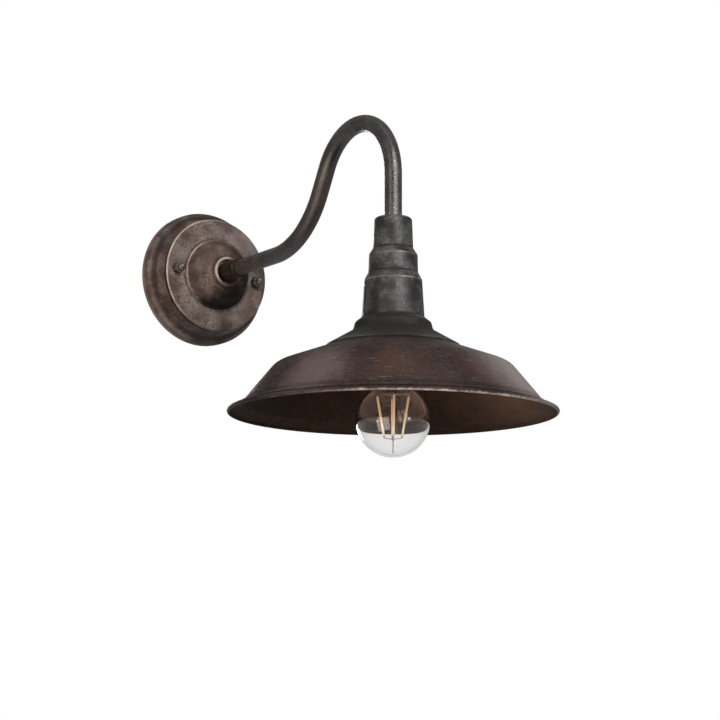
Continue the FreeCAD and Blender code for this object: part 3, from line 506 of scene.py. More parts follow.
@dataclass(frozen=True)
class Finish:
    """A surface finish; each kind below draws its own shader."""

    name: str

    def material(self) -> bpy.types.Material:
        """The Blender material, built on first use.

        Returns:
            The material.
        """
        known = bpy.data.materials.get(self.name)
        if known:
            return known
        made = bpy.data.materials.new(self.name)
        made.use_nodes = True
        sketch = Sketch(made.node_tree)
        shader = sketch.add("BsdfPrincipled")
        sketch.feed(sketch.add("OutputMaterial").inputs["Surface"], shader.outputs["BSDF"])
        self.draw(sketch, shader)
        return made

    def draw(self, sketch: Sketch, shader: bpy.types.Node) -> None:
        """Draw the nodes that feed the shader."""
        raise NotImplementedError

    @staticmethod
    def relief(sketch: Sketch, shader: bpy.types.Node, height: bpy.types.NodeSocket,
               strength: float, depth: float) -> None:
        """Feed a height into the shader's normal.

        Args:
            sketch: The tree.
            shader: The Principled shader.
            height: The height socket.
            strength: The bump's strength.
            depth: How many millimetres a height of one stands for.
        """
        bump = sketch.add("Bump")
        bump.inputs["Strength"].default_value = strength
        bump.inputs["Distance"].default_value = depth * MM
        sketch.feed(bump.inputs["Height"], height)
        sketch.feed(shader.inputs["Normal"], bump.outputs["Normal"])


@dataclass(frozen=True)
class AgedLacquer(Finish):
    """Dark rust-effect lacquer: brown clouds, pale flecks, level scuffs, rubbed edges, and painted
    light and shade.

    Attributes:
        effects: The shared shader groups.
        base: Main tone.
        deep: Darker tone of the wide clouds and of the mottle.
        warm: Rusty tone.
        fleck: Tone of the flecks and scuffs.
        rub: Bare tone of rubbed edges, and of the painted highlight on the rubbed_and_lit rings.
        axis: Axis that the rings below are turned about.
        rubbed_and_lit: Rings rubbed bare, which also serve as painted highlights on lips and edges.
        grimed_and_shaded: Dark rings of dirt and of painted shade in creases and under edges.
        stains: Patches that lie under the flecks.
        shadows: Patches of painted shade laid over everything.
        lit_side: Middle and reach of the side painted as lit, to which the rubbed_and_lit rings are
            kept.
    """

    effects: Effects
    base: Colour
    deep: Colour
    warm: Colour
    fleck: Colour
    rub: Colour
    fleck_cover: float = 0.4
    fleck_size: float = 0.9
    fleck_strength: float = 0.5
    scuff_strength: float = 0.25
    rub_start: float = 0.53
    rub_reach: float = 0.06
    rub_strength: float = 0.8
    roughness: float = 0.5
    sand: float = 0.7
    grain_depth: float = 0.25
    grain_strength: float = 0.5
    sheen_level: float = 0.25
    contrast: float = 0.7
    axis: Turning = Turning.LAMP
    rubbed_and_lit: tuple[Band, ...] = ()
    grimed_and_shaded: tuple[Band, ...] = ()
    stains: tuple[Stain, ...] = ()
    shadows: tuple[Stain, ...] = ()
    lit_side: tuple[Corner, float] | None = None
    # Colour of the dark rings: dirt and painted shade.
    soot_and_shade: Colour = (0.006, 0.004, 0.003)
    wide_size: float = 34.0
    amber_size: float = 17.0
    mottle_size: float = 3.2
    drift: float = 13.0
    amber_strength: float = 0.6
    mottle_strength: float = 0.35
    gloss_swing: float = 0.14
    polish: float = 0.12
    dulling: float = 0.4

    def draw(self, sketch: Sketch, shader: bpy.types.Node) -> None:
        """Layer the tones from the widest to the finest.

        Args:
            sketch: The material's tree.
            shader: Its Principled shader.
        """
        fx = self.effects
        wide = sketch.use(fx.clouds, Size=self.wide_size, Edge=0.14)
        amber = sketch.use(fx.clouds, Size=self.amber_size, Edge=0.1, Shift=-0.05)
        mottle = sketch.use(fx.clouds, Size=self.mottle_size, Edge=0.16)
        flecks = sketch.use(fx.speckle, Size=self.fleck_size, Drift=self.drift,
                            Cover=self.fleck_cover)
        scuffs = sketch.use(fx.scuffs, Length=self.drift, Width=0.9, Cover=0.45)
        rub = sketch.use(fx.edge_rub, Start=self.rub_start, Reach=self.rub_reach)
        tone = sketch.layer(self.base, self.deep, wide, self.contrast)
        tone = sketch.layer(tone, self.warm, amber, self.amber_strength)
        tone = sketch.layer(tone, self.deep, mottle, self.mottle_strength)
        tone = self._stained(sketch, tone, self.stains)
        tone = sketch.layer(tone, self.fleck, scuffs, self.scuff_strength)
        tone = sketch.layer(tone, self.fleck, flecks, self.fleck_strength)
        # Dark rings of dirt and painted shade, then rubbed edges with the painted highlight of the
        # rings.
        grime_and_shade = self._bands(sketch, self.grimed_and_shaded)
        tone = sketch.blend(grime_and_shade, tone, self.soot_and_shade)
        worn = sketch.maths("MULTIPLY", rub, self.rub_strength)
        # bare holds the rubbed edges and the rings' painted highlight.
        bare = sketch.maths("MAXIMUM", worn, self._rings(sketch))
        tone = sketch.blend(bare, tone, self.rub)
        # The shadows are painted shade laid over the finished tone.
        sketch.feed(shader.inputs["Base Color"], self._stained(sketch, tone, self.shadows))
        gloss = sketch.maths("MULTIPLY_ADD", mottle, self.gloss_swing,
                             self.roughness - self.gloss_swing / 2)
        gloss = sketch.maths("MULTIPLY_ADD", bare, -self.polish, gloss)
        gloss = sketch.maths("MULTIPLY_ADD", grime_and_shade, self.dulling, gloss)
        sketch.feed(shader.inputs["Roughness"], gloss)
        shader.inputs["Specular IOR Level"].default_value = self.sheen_level
        height = sketch.use(fx.pitting, Sand=self.sand)
        self.relief(sketch, shader, height, self.grain_strength, self.grain_depth)

    def _stained(self, sketch: Sketch, tone: bpy.types.NodeSocket,
                 stains: Sequence[Stain]) -> bpy.types.NodeSocket:
        """Lay patches over a tone.

        Args:
            sketch: The tree.
            tone: The tone so far.
            stains: The patches.

        Returns:
            The stained tone.
        """
        for stain in stains:
            patch = sketch.use(self.effects.stain, Place=stain.place, Reach=stain.reach)
            tone = sketch.layer(tone, stain.colour, patch, stain.amount)
        return tone

    def _rings(self, sketch: Sketch) -> object:
        """The rubbed_and_lit rings, kept to the side painted as lit where one is set.

        Args:
            sketch: The tree.

        Returns:
            A socket, or zero.
        """
        rings = self._bands(sketch, self.rubbed_and_lit)
        if not self.lit_side:
            return rings
        place, reach = self.lit_side
        # side masks the rings to the side painted as lit.
        side = sketch.use(self.effects.stain, Place=place, Reach=reach)
        return sketch.maths("MULTIPLY", rings, side)

    def _bands(self, sketch: Sketch, bands: Sequence[Band]) -> object:
        """The strongest of several bands, or zero where there are none.

        Args:
            sketch: The tree.
            bands: The bands.

        Returns:
            A socket, or zero.
        """
        if not bands:
            return 0.0
        place = sketch.place(self.axis)
        strongest: object = 0.0
        for band in bands:
            mask = sketch.use(self.effects.band, Place=place, Radius=band.radius,
                              Height=band.height, Reach=band.reach, Broken=band.broken)
            strongest = sketch.maths("MAXIMUM", strongest,
                                     sketch.maths("MULTIPLY", mask, band.amount))
        return strongest


@dataclass(frozen=True)
class PlatedMetal(Finish):
    """Plated or bare metal with turning marks and a little tarnish."""

    effects: Effects
    base: Colour
    tarnish: Colour
    roughness: float = 0.32
    bright: Colour = (0.9, 0.88, 0.85)
    dulling: float = 0.6
    gloss_swing: float = 0.18

    def draw(self, sketch: Sketch, shader: bpy.types.Node) -> None:
        """Bright metal, dulled in clouds, with fine level marks.

        Args:
            sketch: The material's tree.
            shader: Its Principled shader.
        """
        fx = self.effects
        dull = sketch.use(fx.clouds, Size=6.0, Edge=0.2)
        marks = sketch.use(fx.scuffs, Length=3.0, Width=0.15, Cover=0.8)
        rub = sketch.use(fx.edge_rub, Start=0.54)
        tone = sketch.layer(self.base, self.tarnish, dull, self.dulling)
        sketch.feed(shader.inputs["Base Color"], sketch.layer(tone, self.bright, rub, 0.3))
        shader.inputs["Metallic"].default_value = 1.0
        gloss = sketch.maths("MULTIPLY_ADD", dull, self.gloss_swing, self.roughness)
        sketch.feed(shader.inputs["Roughness"], gloss)
        self.relief(sketch, shader, marks, 0.3, 0.05)


@dataclass(frozen=True)
class Moulding(Finish):
    """Moulded plastic, bakelite or glazed ceramic with a soft orange-peel skin."""

    effects: Effects
    base: Colour
    shade: Colour
    roughness: float = 0.35
    skin: float = 1.4
    stripe: Colour | None = None
    dusty: Colour = (0.5, 0.48, 0.45)
    winding: float = 2.6

    def draw(self, sketch: Sketch, shader: bpy.types.Node) -> None:
        """Even colour with faint clouds, and a stripe that winds round a cable where one is set.

        Args:
            sketch: The material's tree.
            shader: Its Principled shader.
        """
        fx = self.effects
        cloud = sketch.use(fx.clouds, Size=5.0, Edge=0.25)
        dust = sketch.use(fx.speckle, Size=0.5, Drift=6.0, Cover=0.3)
        tone = sketch.layer(self.base, self.shade, cloud, 0.45)
        tone = sketch.layer(tone, self.dusty, dust, 0.12)
        if self.stripe:
            across = sketch.axis(sketch.place(), "X")
            wave = sketch.maths("SINE", sketch.maths("MULTIPLY", across, self.winding))
            tone = sketch.blend(sketch.window(wave, 0.1, 0.3), tone, self.stripe)
        sketch.feed(shader.inputs["Base Color"], tone)
        gloss = sketch.maths("MULTIPLY_ADD", cloud, 0.12, self.roughness)
        sketch.feed(shader.inputs["Roughness"], gloss)
        height = sketch.use(fx.pitting, Sand=self.skin, Dimple=5.0, Depth=0.3)
        self.relief(sketch, shader, height, 0.15, 0.08)


@dataclass(frozen=True)
class ClearGlass(Finish):
    """Blown glass, faintly grey, amber towards its cap, with a trace of dust and handling marks.

    Attributes:
        effects: The shared shader groups.
        tint: Colour of the clear glass.
        marks: Strength of the handling marks.
        smoke: Colour of the glass towards the cap.
        clear_below: Height at which the smoke begins.
        smoke_reach: How much further up it is full.
        refraction: Index of refraction.
    """

    effects: Effects
    tint: Colour
    marks: float = 0.10
    smoke: Colour = (0.76, 0.63, 0.55)
    clear_below: float = -178.0
    smoke_reach: float = 22.0
    refraction: float = 1.46

    def draw(self, sketch: Sketch, shader: bpy.types.Node) -> None:
        """Clear transmission; the marks only change the gloss and the relief.

        Args:
            sketch: The material's tree.
            shader: Its Principled shader.
        """
        fx = self.effects
        dust = sketch.use(fx.speckle, Size=1.6, Drift=16.0, Cover=0.45)
        smear = sketch.use(fx.clouds, Size=14.0, Edge=0.2)
        tone = sketch.layer(self.tint, tuple(0.86 * part for part in self.tint), dust, 0.25)
        height = sketch.axis(sketch.place(), "Z")
        smoked = sketch.window(height, self.clear_below, self.clear_below + self.smoke_reach)
        sketch.feed(shader.inputs["Base Color"], sketch.blend(smoked, tone, self.smoke))
        haze = sketch.maths("MULTIPLY", smear, self.marks)
        sketch.feed(shader.inputs["Roughness"], sketch.maths("MULTIPLY", dust, 0.06))
        shader.inputs["Transmission Weight"].default_value = 1.0
        shader.inputs["IOR"].default_value = self.refraction
        self.relief(sketch, shader, haze, 0.1, 0.2)


@dataclass(frozen=True)
class PhosphorCoat(Finish):
    """Filament coating: pale amber silicone over a row of tiny chips."""

    effects: Effects
    base: Colour
    deep: Colour
    glow: float = 0.12
    chip_rate: float = 5.2

    def draw(self, sketch: Sketch, shader: bpy.types.Node) -> None:
        """Bands along the rod, with a soft inner glow.

        Args:
            sketch: The material's tree.
            shader: Its Principled shader.
        """
        level = sketch.axis(sketch.place(), "Z")
        chips = sketch.maths("SINE", sketch.maths("MULTIPLY", level, self.chip_rate))
        clouds = sketch.use(self.effects.clouds, Size=2.4, Edge=0.2)
        tone = sketch.layer(self.base, self.deep, clouds, 0.6)
        tone = sketch.layer(tone, self.deep, sketch.window(chips, 0.2, 0.9), 0.2)
        sketch.feed(shader.inputs["Base Color"], tone)
        sketch.feed(shader.inputs["Emission Color"], tone)
        shader.inputs["Emission Strength"].default_value = self.glow
        shader.inputs["Roughness"].default_value = 0.5
        self.relief(sketch, shader, clouds, 0.2, 0.05)


class Palette:
    """Every finish on the lamp, by the name of its part."""

    def __init__(self) -> None:
        """Mix all finishes."""
        fx = Effects()
        # Patches on the outside of the shade: brown tone patches, and pale grey painted reflections
        # down its left and right.
        shade_tones_and_reflections = (
            Stain((-59.0, -397.0, -133.0), 24.0, srgb("49342a"), 0.5),
            Stain((-104.0, -352.0, -134.0), 40.0, srgb("665a59"), 0.7),
            Stain((-40.0, -375.0, -110.0), 24.0, srgb("443633"), 0.5),
            Stain((2.0, -415.0, -142.0), 22.0, srgb("442f27"), 0.45),
            Stain((70.0, -386.0, -136.0), 84.0, srgb("8a807e"), 0.85),
        )
        # Outside of the shade: the rubbed ring is a painted highlight along the front of the rim,
        # and the dark rings are dirt and painted shade under the neck, in the lip and beneath the
        # rim.
        self.shade_out = AgedLacquer(
            "shade lacquer", fx, srgb("3b3130"), srgb("231c1c"), srgb("43332c"), srgb("8b7f7c"),
            srgb("d3c6bc"), fleck_cover=0.38, fleck_strength=0.34, scuff_strength=0.3,
            rub_strength=0.35, roughness=0.5, grain_strength=0.45, sheen_level=0.08, contrast=0.8,
            stains=shade_tones_and_reflections, rubbed_and_lit=(Band(129.0, -158.4, 1.35, 1.0, 0.3),),
            lit_side=((-30.0, -436.0, -158.0), 135.0),
            grimed_and_shaded=(Band(125.5, -154.6, 3.0, 0.8), Band(52.5, -105.8, 2.2, 0.9),
                    Band(118.0, -151.0, 4.0, 0.35), Band(128.6, -160.6, 1.2, 0.9)))
        # Inside of the shade: a lighter brown patch on its right is painted light, a near-black
        # patch on its left is painted shade.
        self.shade_in = AgedLacquer(
            "shade inner lacquer", fx, srgb("31241e"), srgb("1f1613"), srgb("3f2b1f"),
            srgb("5c4c44"), srgb("6c5a4c"), fleck_cover=0.2, fleck_strength=0.12,
            scuff_strength=0.12, rub_strength=0.2, roughness=0.65, grain_strength=0.2,
            sheen_level=0.06, contrast=0.45,
            stains=(Stain((66.0, -326.0, -135.0), 90.0, srgb("6a5145"), 0.95),
                    Stain((-70.0, -290.0, -135.0), 60.0, srgb("170f0c"), 0.85)),
            grimed_and_shaded=(Band(127.6, -160.4, 2.0, 0.8),))
        # Face of the canopy: a brown patch on the left of the band, and pale grey painted light on
        # the upper and lower right of the face.
        face_tones_and_highlights = (
            Stain((-52.0, -8.0, -12.0), 30.0, srgb("4f3526"), 0.6),
            Stain((30.0, -28.0, 34.0), 26.0, srgb("8b8281"), 0.25),
            Stain((26.0, -28.0, -34.0), 24.0, srgb("6f625f"), 0.35),
        )
        # Painted shade on the bottom and the top of the canopy's band.
        rim_painted_shade = (
            Stain((6.0, -6.0, -60.0), 34.0, srgb("1d1512"), 0.75),
            Stain((0.0, -6.0, 62.0), 34.0, srgb("1d1614"), 0.6),
        )
        # Painted shade over the lower and right side of the boss.
        boss_painted_shade = (
            Stain((14.0, -36.0, -25.0), 36.0, srgb("0e0807"), 1.0),
            Stain((-6.0, -32.0, -29.0), 24.0, srgb("140c0a"), 0.95),
            Stain((26.0, -35.0, 0.0), 24.0, srgb("120b09"), 0.95),
            Stain((16.0, -38.0, 20.0), 22.0, srgb("1f1511"), 0.75),
        )
        # The rubbed rings of the canopy are a painted highlight on its upper left lip and shoulder;
        # the dark rings are dirt and painted shade under the lip, in the cove, round the boss and
        # at the wall.
        self.canopy = AgedLacquer(
            "canopy lacquer", fx, srgb("574641"), srgb("231a18"), srgb("523828"), srgb("a99d99"),
            srgb("d2c0b2"), fleck_cover=0.56, fleck_size=0.5, fleck_strength=0.62, rub_strength=0.3,
            roughness=0.42, grain_depth=0.4, grain_strength=1.0, sheen_level=0.28, contrast=0.9,
            axis=Turning.WALL, stains=face_tones_and_highlights, shadows=rim_painted_shade,
            lit_side=((-40.0, -28.0, 20.0), 78.0),
            rubbed_and_lit=(Band(51.1, 28.4, 1.3, 0.9, 0.3), Band(59.6, 7.2, 1.2, 0.3, 0.8)),
            grimed_and_shaded=(Band(50.6, 25.2, 2.6), Band(55.0, 12.0, 4.5, 0.75), Band(32.8, 28.6, 2.0, 0.9),
                    Band(60.9, 0.0, 3.0, 0.7)))
        # The boss has a finish of its own to carry its painted shade; its rubbed rings are a
        # painted highlight on the left of its bead and collar, and its dark rings are dirt and
        # painted shade at its foot and in its mouth.
        self.boss = AgedLacquer(
            "boss lacquer", fx, srgb("5e4e48"), srgb("2b201d"), srgb("533a2b"), srgb("b0a49f"),
            srgb("d2c0b2"), fleck_cover=0.52, fleck_size=0.5, fleck_strength=0.6, rub_strength=0.3,
            roughness=0.42, grain_depth=0.4, grain_strength=1.0, sheen_level=0.14, contrast=0.6,
            axis=Turning.WALL, shadows=boss_painted_shade, lit_side=((-27.0, -46.0, 12.0), 40.0),
            rubbed_and_lit=(Band(31.6, 30.0, 1.2, 0.85, 0.4), Band(12.6, 49.4, 1.5, 0.9, 0.3)),
            grimed_and_shaded=(Band(32.8, 28.6, 2.0, 0.9), Band(13.6, 45.6, 2.6, 0.7), Band(10.0, 47.6, 2.0)))
        # Painted shade on the front of the neck's foot; the rubbed rings are painted highlights on
        # the step shoulders, the top and the skirt's edge; the dark rings are dirt and painted
        # shade in the creases, over the foot and where the arm enters.
        self.charcoal = AgedLacquer(
            "charcoal lacquer", fx, srgb("262424"), srgb("121010"), srgb("282321"), srgb("a3a19f"),
            srgb("a7a39e"), fleck_cover=0.55, fleck_size=0.55, fleck_strength=0.5,
            scuff_strength=0.05, rub_strength=0.1, roughness=0.35, grain_depth=0.4,
            grain_strength=0.6, sheen_level=0.35, contrast=0.8,
            shadows=(Stain((-19.0, -341.0, -95.0), 46.0, srgb("151212"), 0.85),),
            rubbed_and_lit=(Band(14.6, -2.2, 1.0, 0.4, 0.8), Band(19.3, -32.6, 0.9, 0.45, 0.7),
                    Band(22.9, -52.9, 0.9, 0.45, 0.7), Band(52.6, -104.6, 0.8, 0.4, 0.7)),
            grimed_and_shaded=(Band(16.2, -26.6, 1.2), Band(20.0, -46.4, 1.2), Band(25.0, -82.4, 1.3),
                    Band(33.0, -93.0, 13.0), Band(44.0, -101.0, 13.0), Band(7.4, -1.2, 2.2)))
        # The arm is darker and browner towards the canopy and over the S bend; its dark rings are
        # dirt and painted shade at the sleeve and over the bend.
        self.arm = AgedLacquer(
            "arm lacquer", fx, srgb("262322"), srgb("131010"), srgb("281e1a"), srgb("9a9693"),
            srgb("9c958e"), fleck_cover=0.46, fleck_size=0.55, fleck_strength=0.4,
            scuff_strength=0.05, rub_strength=0.1, roughness=0.3, grain_depth=0.4,
            grain_strength=0.45, sheen_level=0.8, contrast=0.8,
            stains=(Stain((0.0, -80.0, 0.0), 62.0, srgb("2a1b16"), 0.95),
                    Stain((0.0, -165.0, 15.0), 50.0, srgb("221714"), 0.85),
                    Stain((0.0, -205.0, 45.0), 34.0, srgb("3a2419"), 0.75)),
            axis=Turning.WALL, grimed_and_shaded=(Band(7.2, 70.6, 2.0), Band(35.0, 185.0, 60.0, 0.45)))
        # The rubbed ring is a painted highlight round the sleeve's mouth, and the dark ring is dirt
        # and painted shade where the sleeve sits in the boss.
        self.ferrule = AgedLacquer(
            "sleeve lacquer", fx, srgb("22150f"), srgb("120a07"), srgb("2e1d15"), srgb("6a5a50"),
            srgb("b09a8a"), fleck_cover=0.3, fleck_strength=0.3, rub_strength=0.4, roughness=0.42,
            axis=Turning.WALL, rubbed_and_lit=(Band(8.5, 70.2, 0.9, 0.3),), grimed_and_shaded=(Band(8.8, 47.0, 6.0),))
        self.fastener = AgedLacquer(
            "washer lacquer", fx, srgb("241a17"), srgb("100b0a"), srgb("2d211b"), srgb("6c605a"),
            srgb("8a7d75"), fleck_cover=0.3, fleck_strength=0.2, rub_strength=0.3, roughness=0.5,
            grain_strength=0.3, sheen_level=0.2)
        self.dome = AgedLacquer(
            "domed nut lacquer", fx, srgb("332824"), srgb("1c1512"), srgb("2f221c"), srgb("8c807a"),
            srgb("b4a79f"), fleck_cover=0.3, fleck_strength=0.2, rub_start=0.5, rub_strength=0.2,
            roughness=0.3, grain_strength=0.1, sheen_level=1.0)
        self.zinc = PlatedMetal("zinc plate", fx, (0.66, 0.67, 0.66), (0.42, 0.42, 0.40))
        self.brass = PlatedMetal("brass", fx, (0.78, 0.57, 0.25), (0.46, 0.30, 0.12), 0.28)
        self.nickel = PlatedMetal("nickel plate", fx, (0.74, 0.71, 0.66), (0.50, 0.47, 0.42), 0.24)
        self.tinned = PlatedMetal("tinned copper", fx, (0.72, 0.71, 0.68), (0.50, 0.42, 0.36), 0.3)
        self.support = PlatedMetal("support wire", fx, (0.40, 0.36, 0.33), (0.24, 0.21, 0.19), 0.4)
        self.nylon = Moulding("terminal nylon", fx, srgb("e9e6da"), srgb("d4d0c2"), 0.45)
        self.bakelite = Moulding("black bakelite", fx, srgb("1b1a19"), srgb("11100f"), 0.3)
        self.ceramic = Moulding("glazed ceramic", fx, srgb("ece9e1"), srgb("d9d5ca"), 0.16)
        self.black_glass = Moulding("black glass", fx, srgb("121112"), srgb("1d1b1c"), 0.12)
        self.board = Moulding("circuit board", fx, srgb("dfe0d8"), srgb("b9c0b2"), 0.4)
        self.live = Moulding("brown insulation", fx, srgb("5a3018"), srgb("472511"), 0.38)
        self.neutral = Moulding("blue insulation", fx, srgb("27508f"), srgb("1d3d70"), 0.38)
        self.earth = Moulding("green and yellow insulation", fx, srgb("2f7a34"), srgb("256329"),
                              0.38, stripe=srgb("d9c62e"))
        self.glass = ClearGlass("bulb glass", fx, (0.90, 0.90, 0.89))
        self.stem_glass = ClearGlass("stem glass", fx, (0.93, 0.70, 0.42), 0.05)
        self.filament = PhosphorCoat("filament coat", fx, srgb("ecd6ba"), srgb("cf9f6c"), 0.5)


# ---------------------------------------------------------------- modelling helpers
def deselect() -> None:
    """Clear the selection, so that an operator acts on the new piece alone."""
    if bpy.context.object and bpy.context.object.mode != "OBJECT":
        bpy.ops.object.mode_set(mode="OBJECT")
    bpy.ops.object.select_all(action="DESELECT")


def focus(piece: bpy.types.Object) -> None:
    """Select one piece and make it active.

    Args:
        piece: The object.
    """
    deselect()
    piece.select_set(True)
    bpy.context.view_layer.objects.active = piece


def settle(piece: bpy.types.Object, name: str, angle: float = 40.0) -> bpy.types.Object:
    """Bring a piece's place into its mesh, name it and smooth its shallow edges.

    Args:
        piece: The new object.
        name: Its name.
        angle: Edges shallower than this, in degrees, are smoothed.

    Returns:
        The same object.
    """
    focus(piece)
    bpy.ops.object.transform_apply(location=True, rotation=True, scale=True)
    bpy.ops.object.shade_smooth_by_angle(angle=math.radians(angle))
    piece.name = name
    piece.data.name = name
    return piece


def clean(piece: bpy.types.Object) -> None:
    """Merge doubles and turn all faces outwards.

    Args:
        piece: The object.
    """
    focus(piece)
    bpy.ops.object.mode_set(mode="EDIT")
    bpy.ops.mesh.select_all(action="SELECT")
    bpy.ops.mesh.remove_doubles(threshold=0.002 * MM)
    bpy.ops.mesh.dissolve_degenerate(threshold=0.001 * MM)
    bpy.ops.mesh.delete_loose()
    bpy.ops.mesh.select_all(action="SELECT")
    bpy.ops.mesh.normals_make_consistent(inside=False)
    bpy.ops.object.mode_set(mode="OBJECT")


def draw_line(points: Sequence[Vector], closed: bool) -> bpy.types.Object:
    """Draw a line of edges by extruding one vertex from point to point.

    Args:
        points: The places, in metres.
        closed: Whether the last point joins the first.

    Returns:
        The object that holds the line.
    """
    deselect()
    bpy.ops.mesh.primitive_plane_add(size=MM, location=points[0])
    piece = bpy.context.object
    bpy.ops.object.mode_set(mode="EDIT")
    bpy.ops.mesh.select_mode(type="VERT")
    bpy.ops.mesh.merge(type="CENTER")
    for last, point in zip(points, points[1:]):
        bpy.ops.mesh.extrude_vertices_move(TRANSFORM_OT_translate={"value": point - last})
    if closed:
        mesh = bmesh.from_edit_mesh(piece.data)
        for vertex in mesh.verts:
            vertex.select = len(vertex.link_edges) == 1
        mesh.select_flush_mode()
        bmesh.update_edit_mesh(piece.data)
        bpy.ops.mesh.edge_face_add()
    bpy.ops.object.mode_set(mode="OBJECT")
    return piece


def rounded(corners: Sequence[Corner], closed: bool = True, steps: int = 5) -> list[Point]:
    """Outline through corners, each rounded by its own radius.

    Args:
        corners: (radius, height, rounding) of each corner, in millimetres.
        closed: Whether the outline closes on itself.
        steps: Points on each rounding.

    Returns:
        (radius, height) points.
    """
    count = len(corners)
    outline: list[Point] = []
    for i, (u, v, rounding) in enumerate(corners):
        at_end = not closed and i in (0, count - 1)
        if rounding <= 0 or at_end:
            outline.append((u, v))
            continue
        here = Vector((u, v))
        back = (Vector(corners[i - 1][:2]) - here).normalized()
        ahead = (Vector(corners[(i + 1) % count][:2]) - here).normalized()
        if (back + ahead).length < 0.001:
            outline.append((u, v))
            continue
        half = back.angle(ahead) / 2
        centre = here + (back + ahead).normalized() * (rounding / math.sin(half))
        first = here + back * (rounding / math.tan(half)) - centre
        last = here + ahead * (rounding / math.tan(half)) - centre
        turn = first.angle_signed(last)
        for k in range(steps + 1):
            arm = first.copy()
            arm.rotate(Matrix.Rotation(-turn * k / steps, 2))
            outline.append(tuple(centre + arm))
    return outline


def offset_sheet(corners: Sequence[Corner], wall: float) -> list[Corner]:
    """Closed outline of a bent sheet: the drawn face, then the same face set off to its left.

    Args:
        corners: (radius, height, rounding) along the drawn face.
        wall: Thickness, negative to set off to the right.

    Returns:
        Corners of the closed outline.
    """
    headings = []
    for (u0, v0, _), (u1, v1, _) in zip(corners, corners[1:]):
        run = math.hypot(u1 - u0, v1 - v0)
        headings.append(((u1 - u0) / run, (v1 - v0) / run))
    back = []
    for i, (u, v, rounding) in enumerate(corners):
        first = headings[max(i - 1, 0)]
        second = headings[min(i, len(headings) - 1)]
        spread = 1 + first[0] * second[0] + first[1] * second[1]
        left_turn = first[0] * second[1] - first[1] * second[0] > 0
        change = -wall if left_turn else wall
        back.append((u - wall * (first[1] + second[1]) / spread,
                     v + wall * (first[0] + second[0]) / spread,
                     max(rounding + change, 0.1) if rounding else 0.0))
    return list(corners) + back[::-1]


@dataclass(frozen=True)
class Lathe:
    """An axis to turn outlines about: where it starts and which way its height runs."""

    origin: Vector
    up: Vector
    side: Vector

    def at(self, radius: float, height: float, angle: float = 0.0) -> Vector:
        """Place on the lathe.

        Args:
            radius: Distance from the axis, in millimetres.
            height: Height along the axis, in millimetres.
            angle: Degrees round from the lathe's side.

        Returns:
            The place, in metres.
        """
        arm = self.side.copy()
        arm.rotate(Matrix.Rotation(math.radians(angle), 3, self.up))
        return self.origin + (arm * radius + self.up * height) * MM

    def turn(self, name: str, outline: Sequence[Point], steps: int = 96,
             closed: bool = True) -> bpy.types.Object:
        """Spin an outline into a piece.

        Args:
            name: The piece's name.
            outline: (radius, height) points in millimetres.
            steps: How many faces go round.
            closed: Whether the outline closes on itself; an open one starts and ends on the axis.

        Returns:
            The piece, at rest in its mesh.
        """
        piece = draw_line([self.at(u, v) for u, v in outline], closed)
        bpy.ops.object.mode_set(mode="EDIT")
        bpy.ops.mesh.select_all(action="SELECT")
        bpy.ops.mesh.spin(steps=steps, angle=2 * math.pi, center=self.origin, axis=self.up)
        bpy.ops.object.mode_set(mode="OBJECT")
        clean(piece)
        return settle(piece, name)


def apply_modifier(piece: bpy.types.Object, kind: str, **settings: object) -> None:
    """Add a modifier, set it and apply it.

    Args:
        piece: The object.
        kind: Blender's modifier type.
        settings: Its properties.
    """
    focus(piece)
    modifier = piece.modifiers.new(kind.lower(), kind)
    for key, value in settings.items():
        setattr(modifier, key, value)
    bpy.ops.object.modifier_apply(modifier=modifier.name)


def copy_at(piece: bpy.types.Object, name: str, shift: Vector) -> bpy.types.Object:
    """Copy a piece with its mesh.

    Args:
        piece: The object to copy.
        name: Name of the copy.
        shift: How far the copy is moved.

    Returns:
        The copy.
    """
    twin = piece.copy()
    twin.data = piece.data.copy()
    bpy.context.collection.objects.link(twin)
    twin.data.transform(Matrix.Translation(shift))
    twin.name = name
    twin.data.name = name
    return twin


def join(pieces: Sequence[bpy.types.Object], name: str) -> bpy.types.Object:
    """Join pieces into one object.

    Args:
        pieces: The objects, the first of which stays.
        name: Name of the joined piece.

    Returns:
        The joined object.
    """
    deselect()
    for piece in pieces:
        piece.select_set(True)
    bpy.context.view_layer.objects.active = pieces[0]
    bpy.ops.object.join()
    pieces[0].name = name
    pieces[0].data.name = name
    return pieces[0]


def wire_through(name: str, points: Sequence[Vector], radius: float) -> bpy.types.Object:
    """A thin round wire through the points, with mitred corners.

    Args:
        name: The piece's name.
        points: Places in metres.
        radius: The wire's radius in millimetres.

    Returns:
        The wire as a mesh.
    """
    piece = draw_line(points, False)
    focus(piece)
    bpy.ops.object.convert(target="CURVE")
    curve = bpy.context.object
    curve.data.bevel_depth = radius * MM
    curve.data.bevel_resolution = 3
    curve.data.use_fill_caps = True
    bpy.ops.object.convert(target="MESH")
    made = bpy.context.object
    clean(made)
    return settle(made, name)


def dress(piece: bpy.types.Object, finish: Finish) -> None:
    """Give a piece one finish."""
    piece.data.materials.clear()
    piece.data.materials.append(finish.material())


def dress_where(piece: bpy.types.Object, finish: Finish,
                chosen: Callable[[bpy.types.MeshPolygon], bool]) -> None:
    """Give the chosen faces a second finish.

    Args:
        piece: A piece that already has its main finish.
        finish: The second finish.
        chosen: Says of each face whether it gets the second finish.
    """
    piece.data.materials.append(finish.material())
    index = len(piece.data.materials) - 1
    for face in piece.data.polygons:
        if chosen(face):
            face.material_index = index


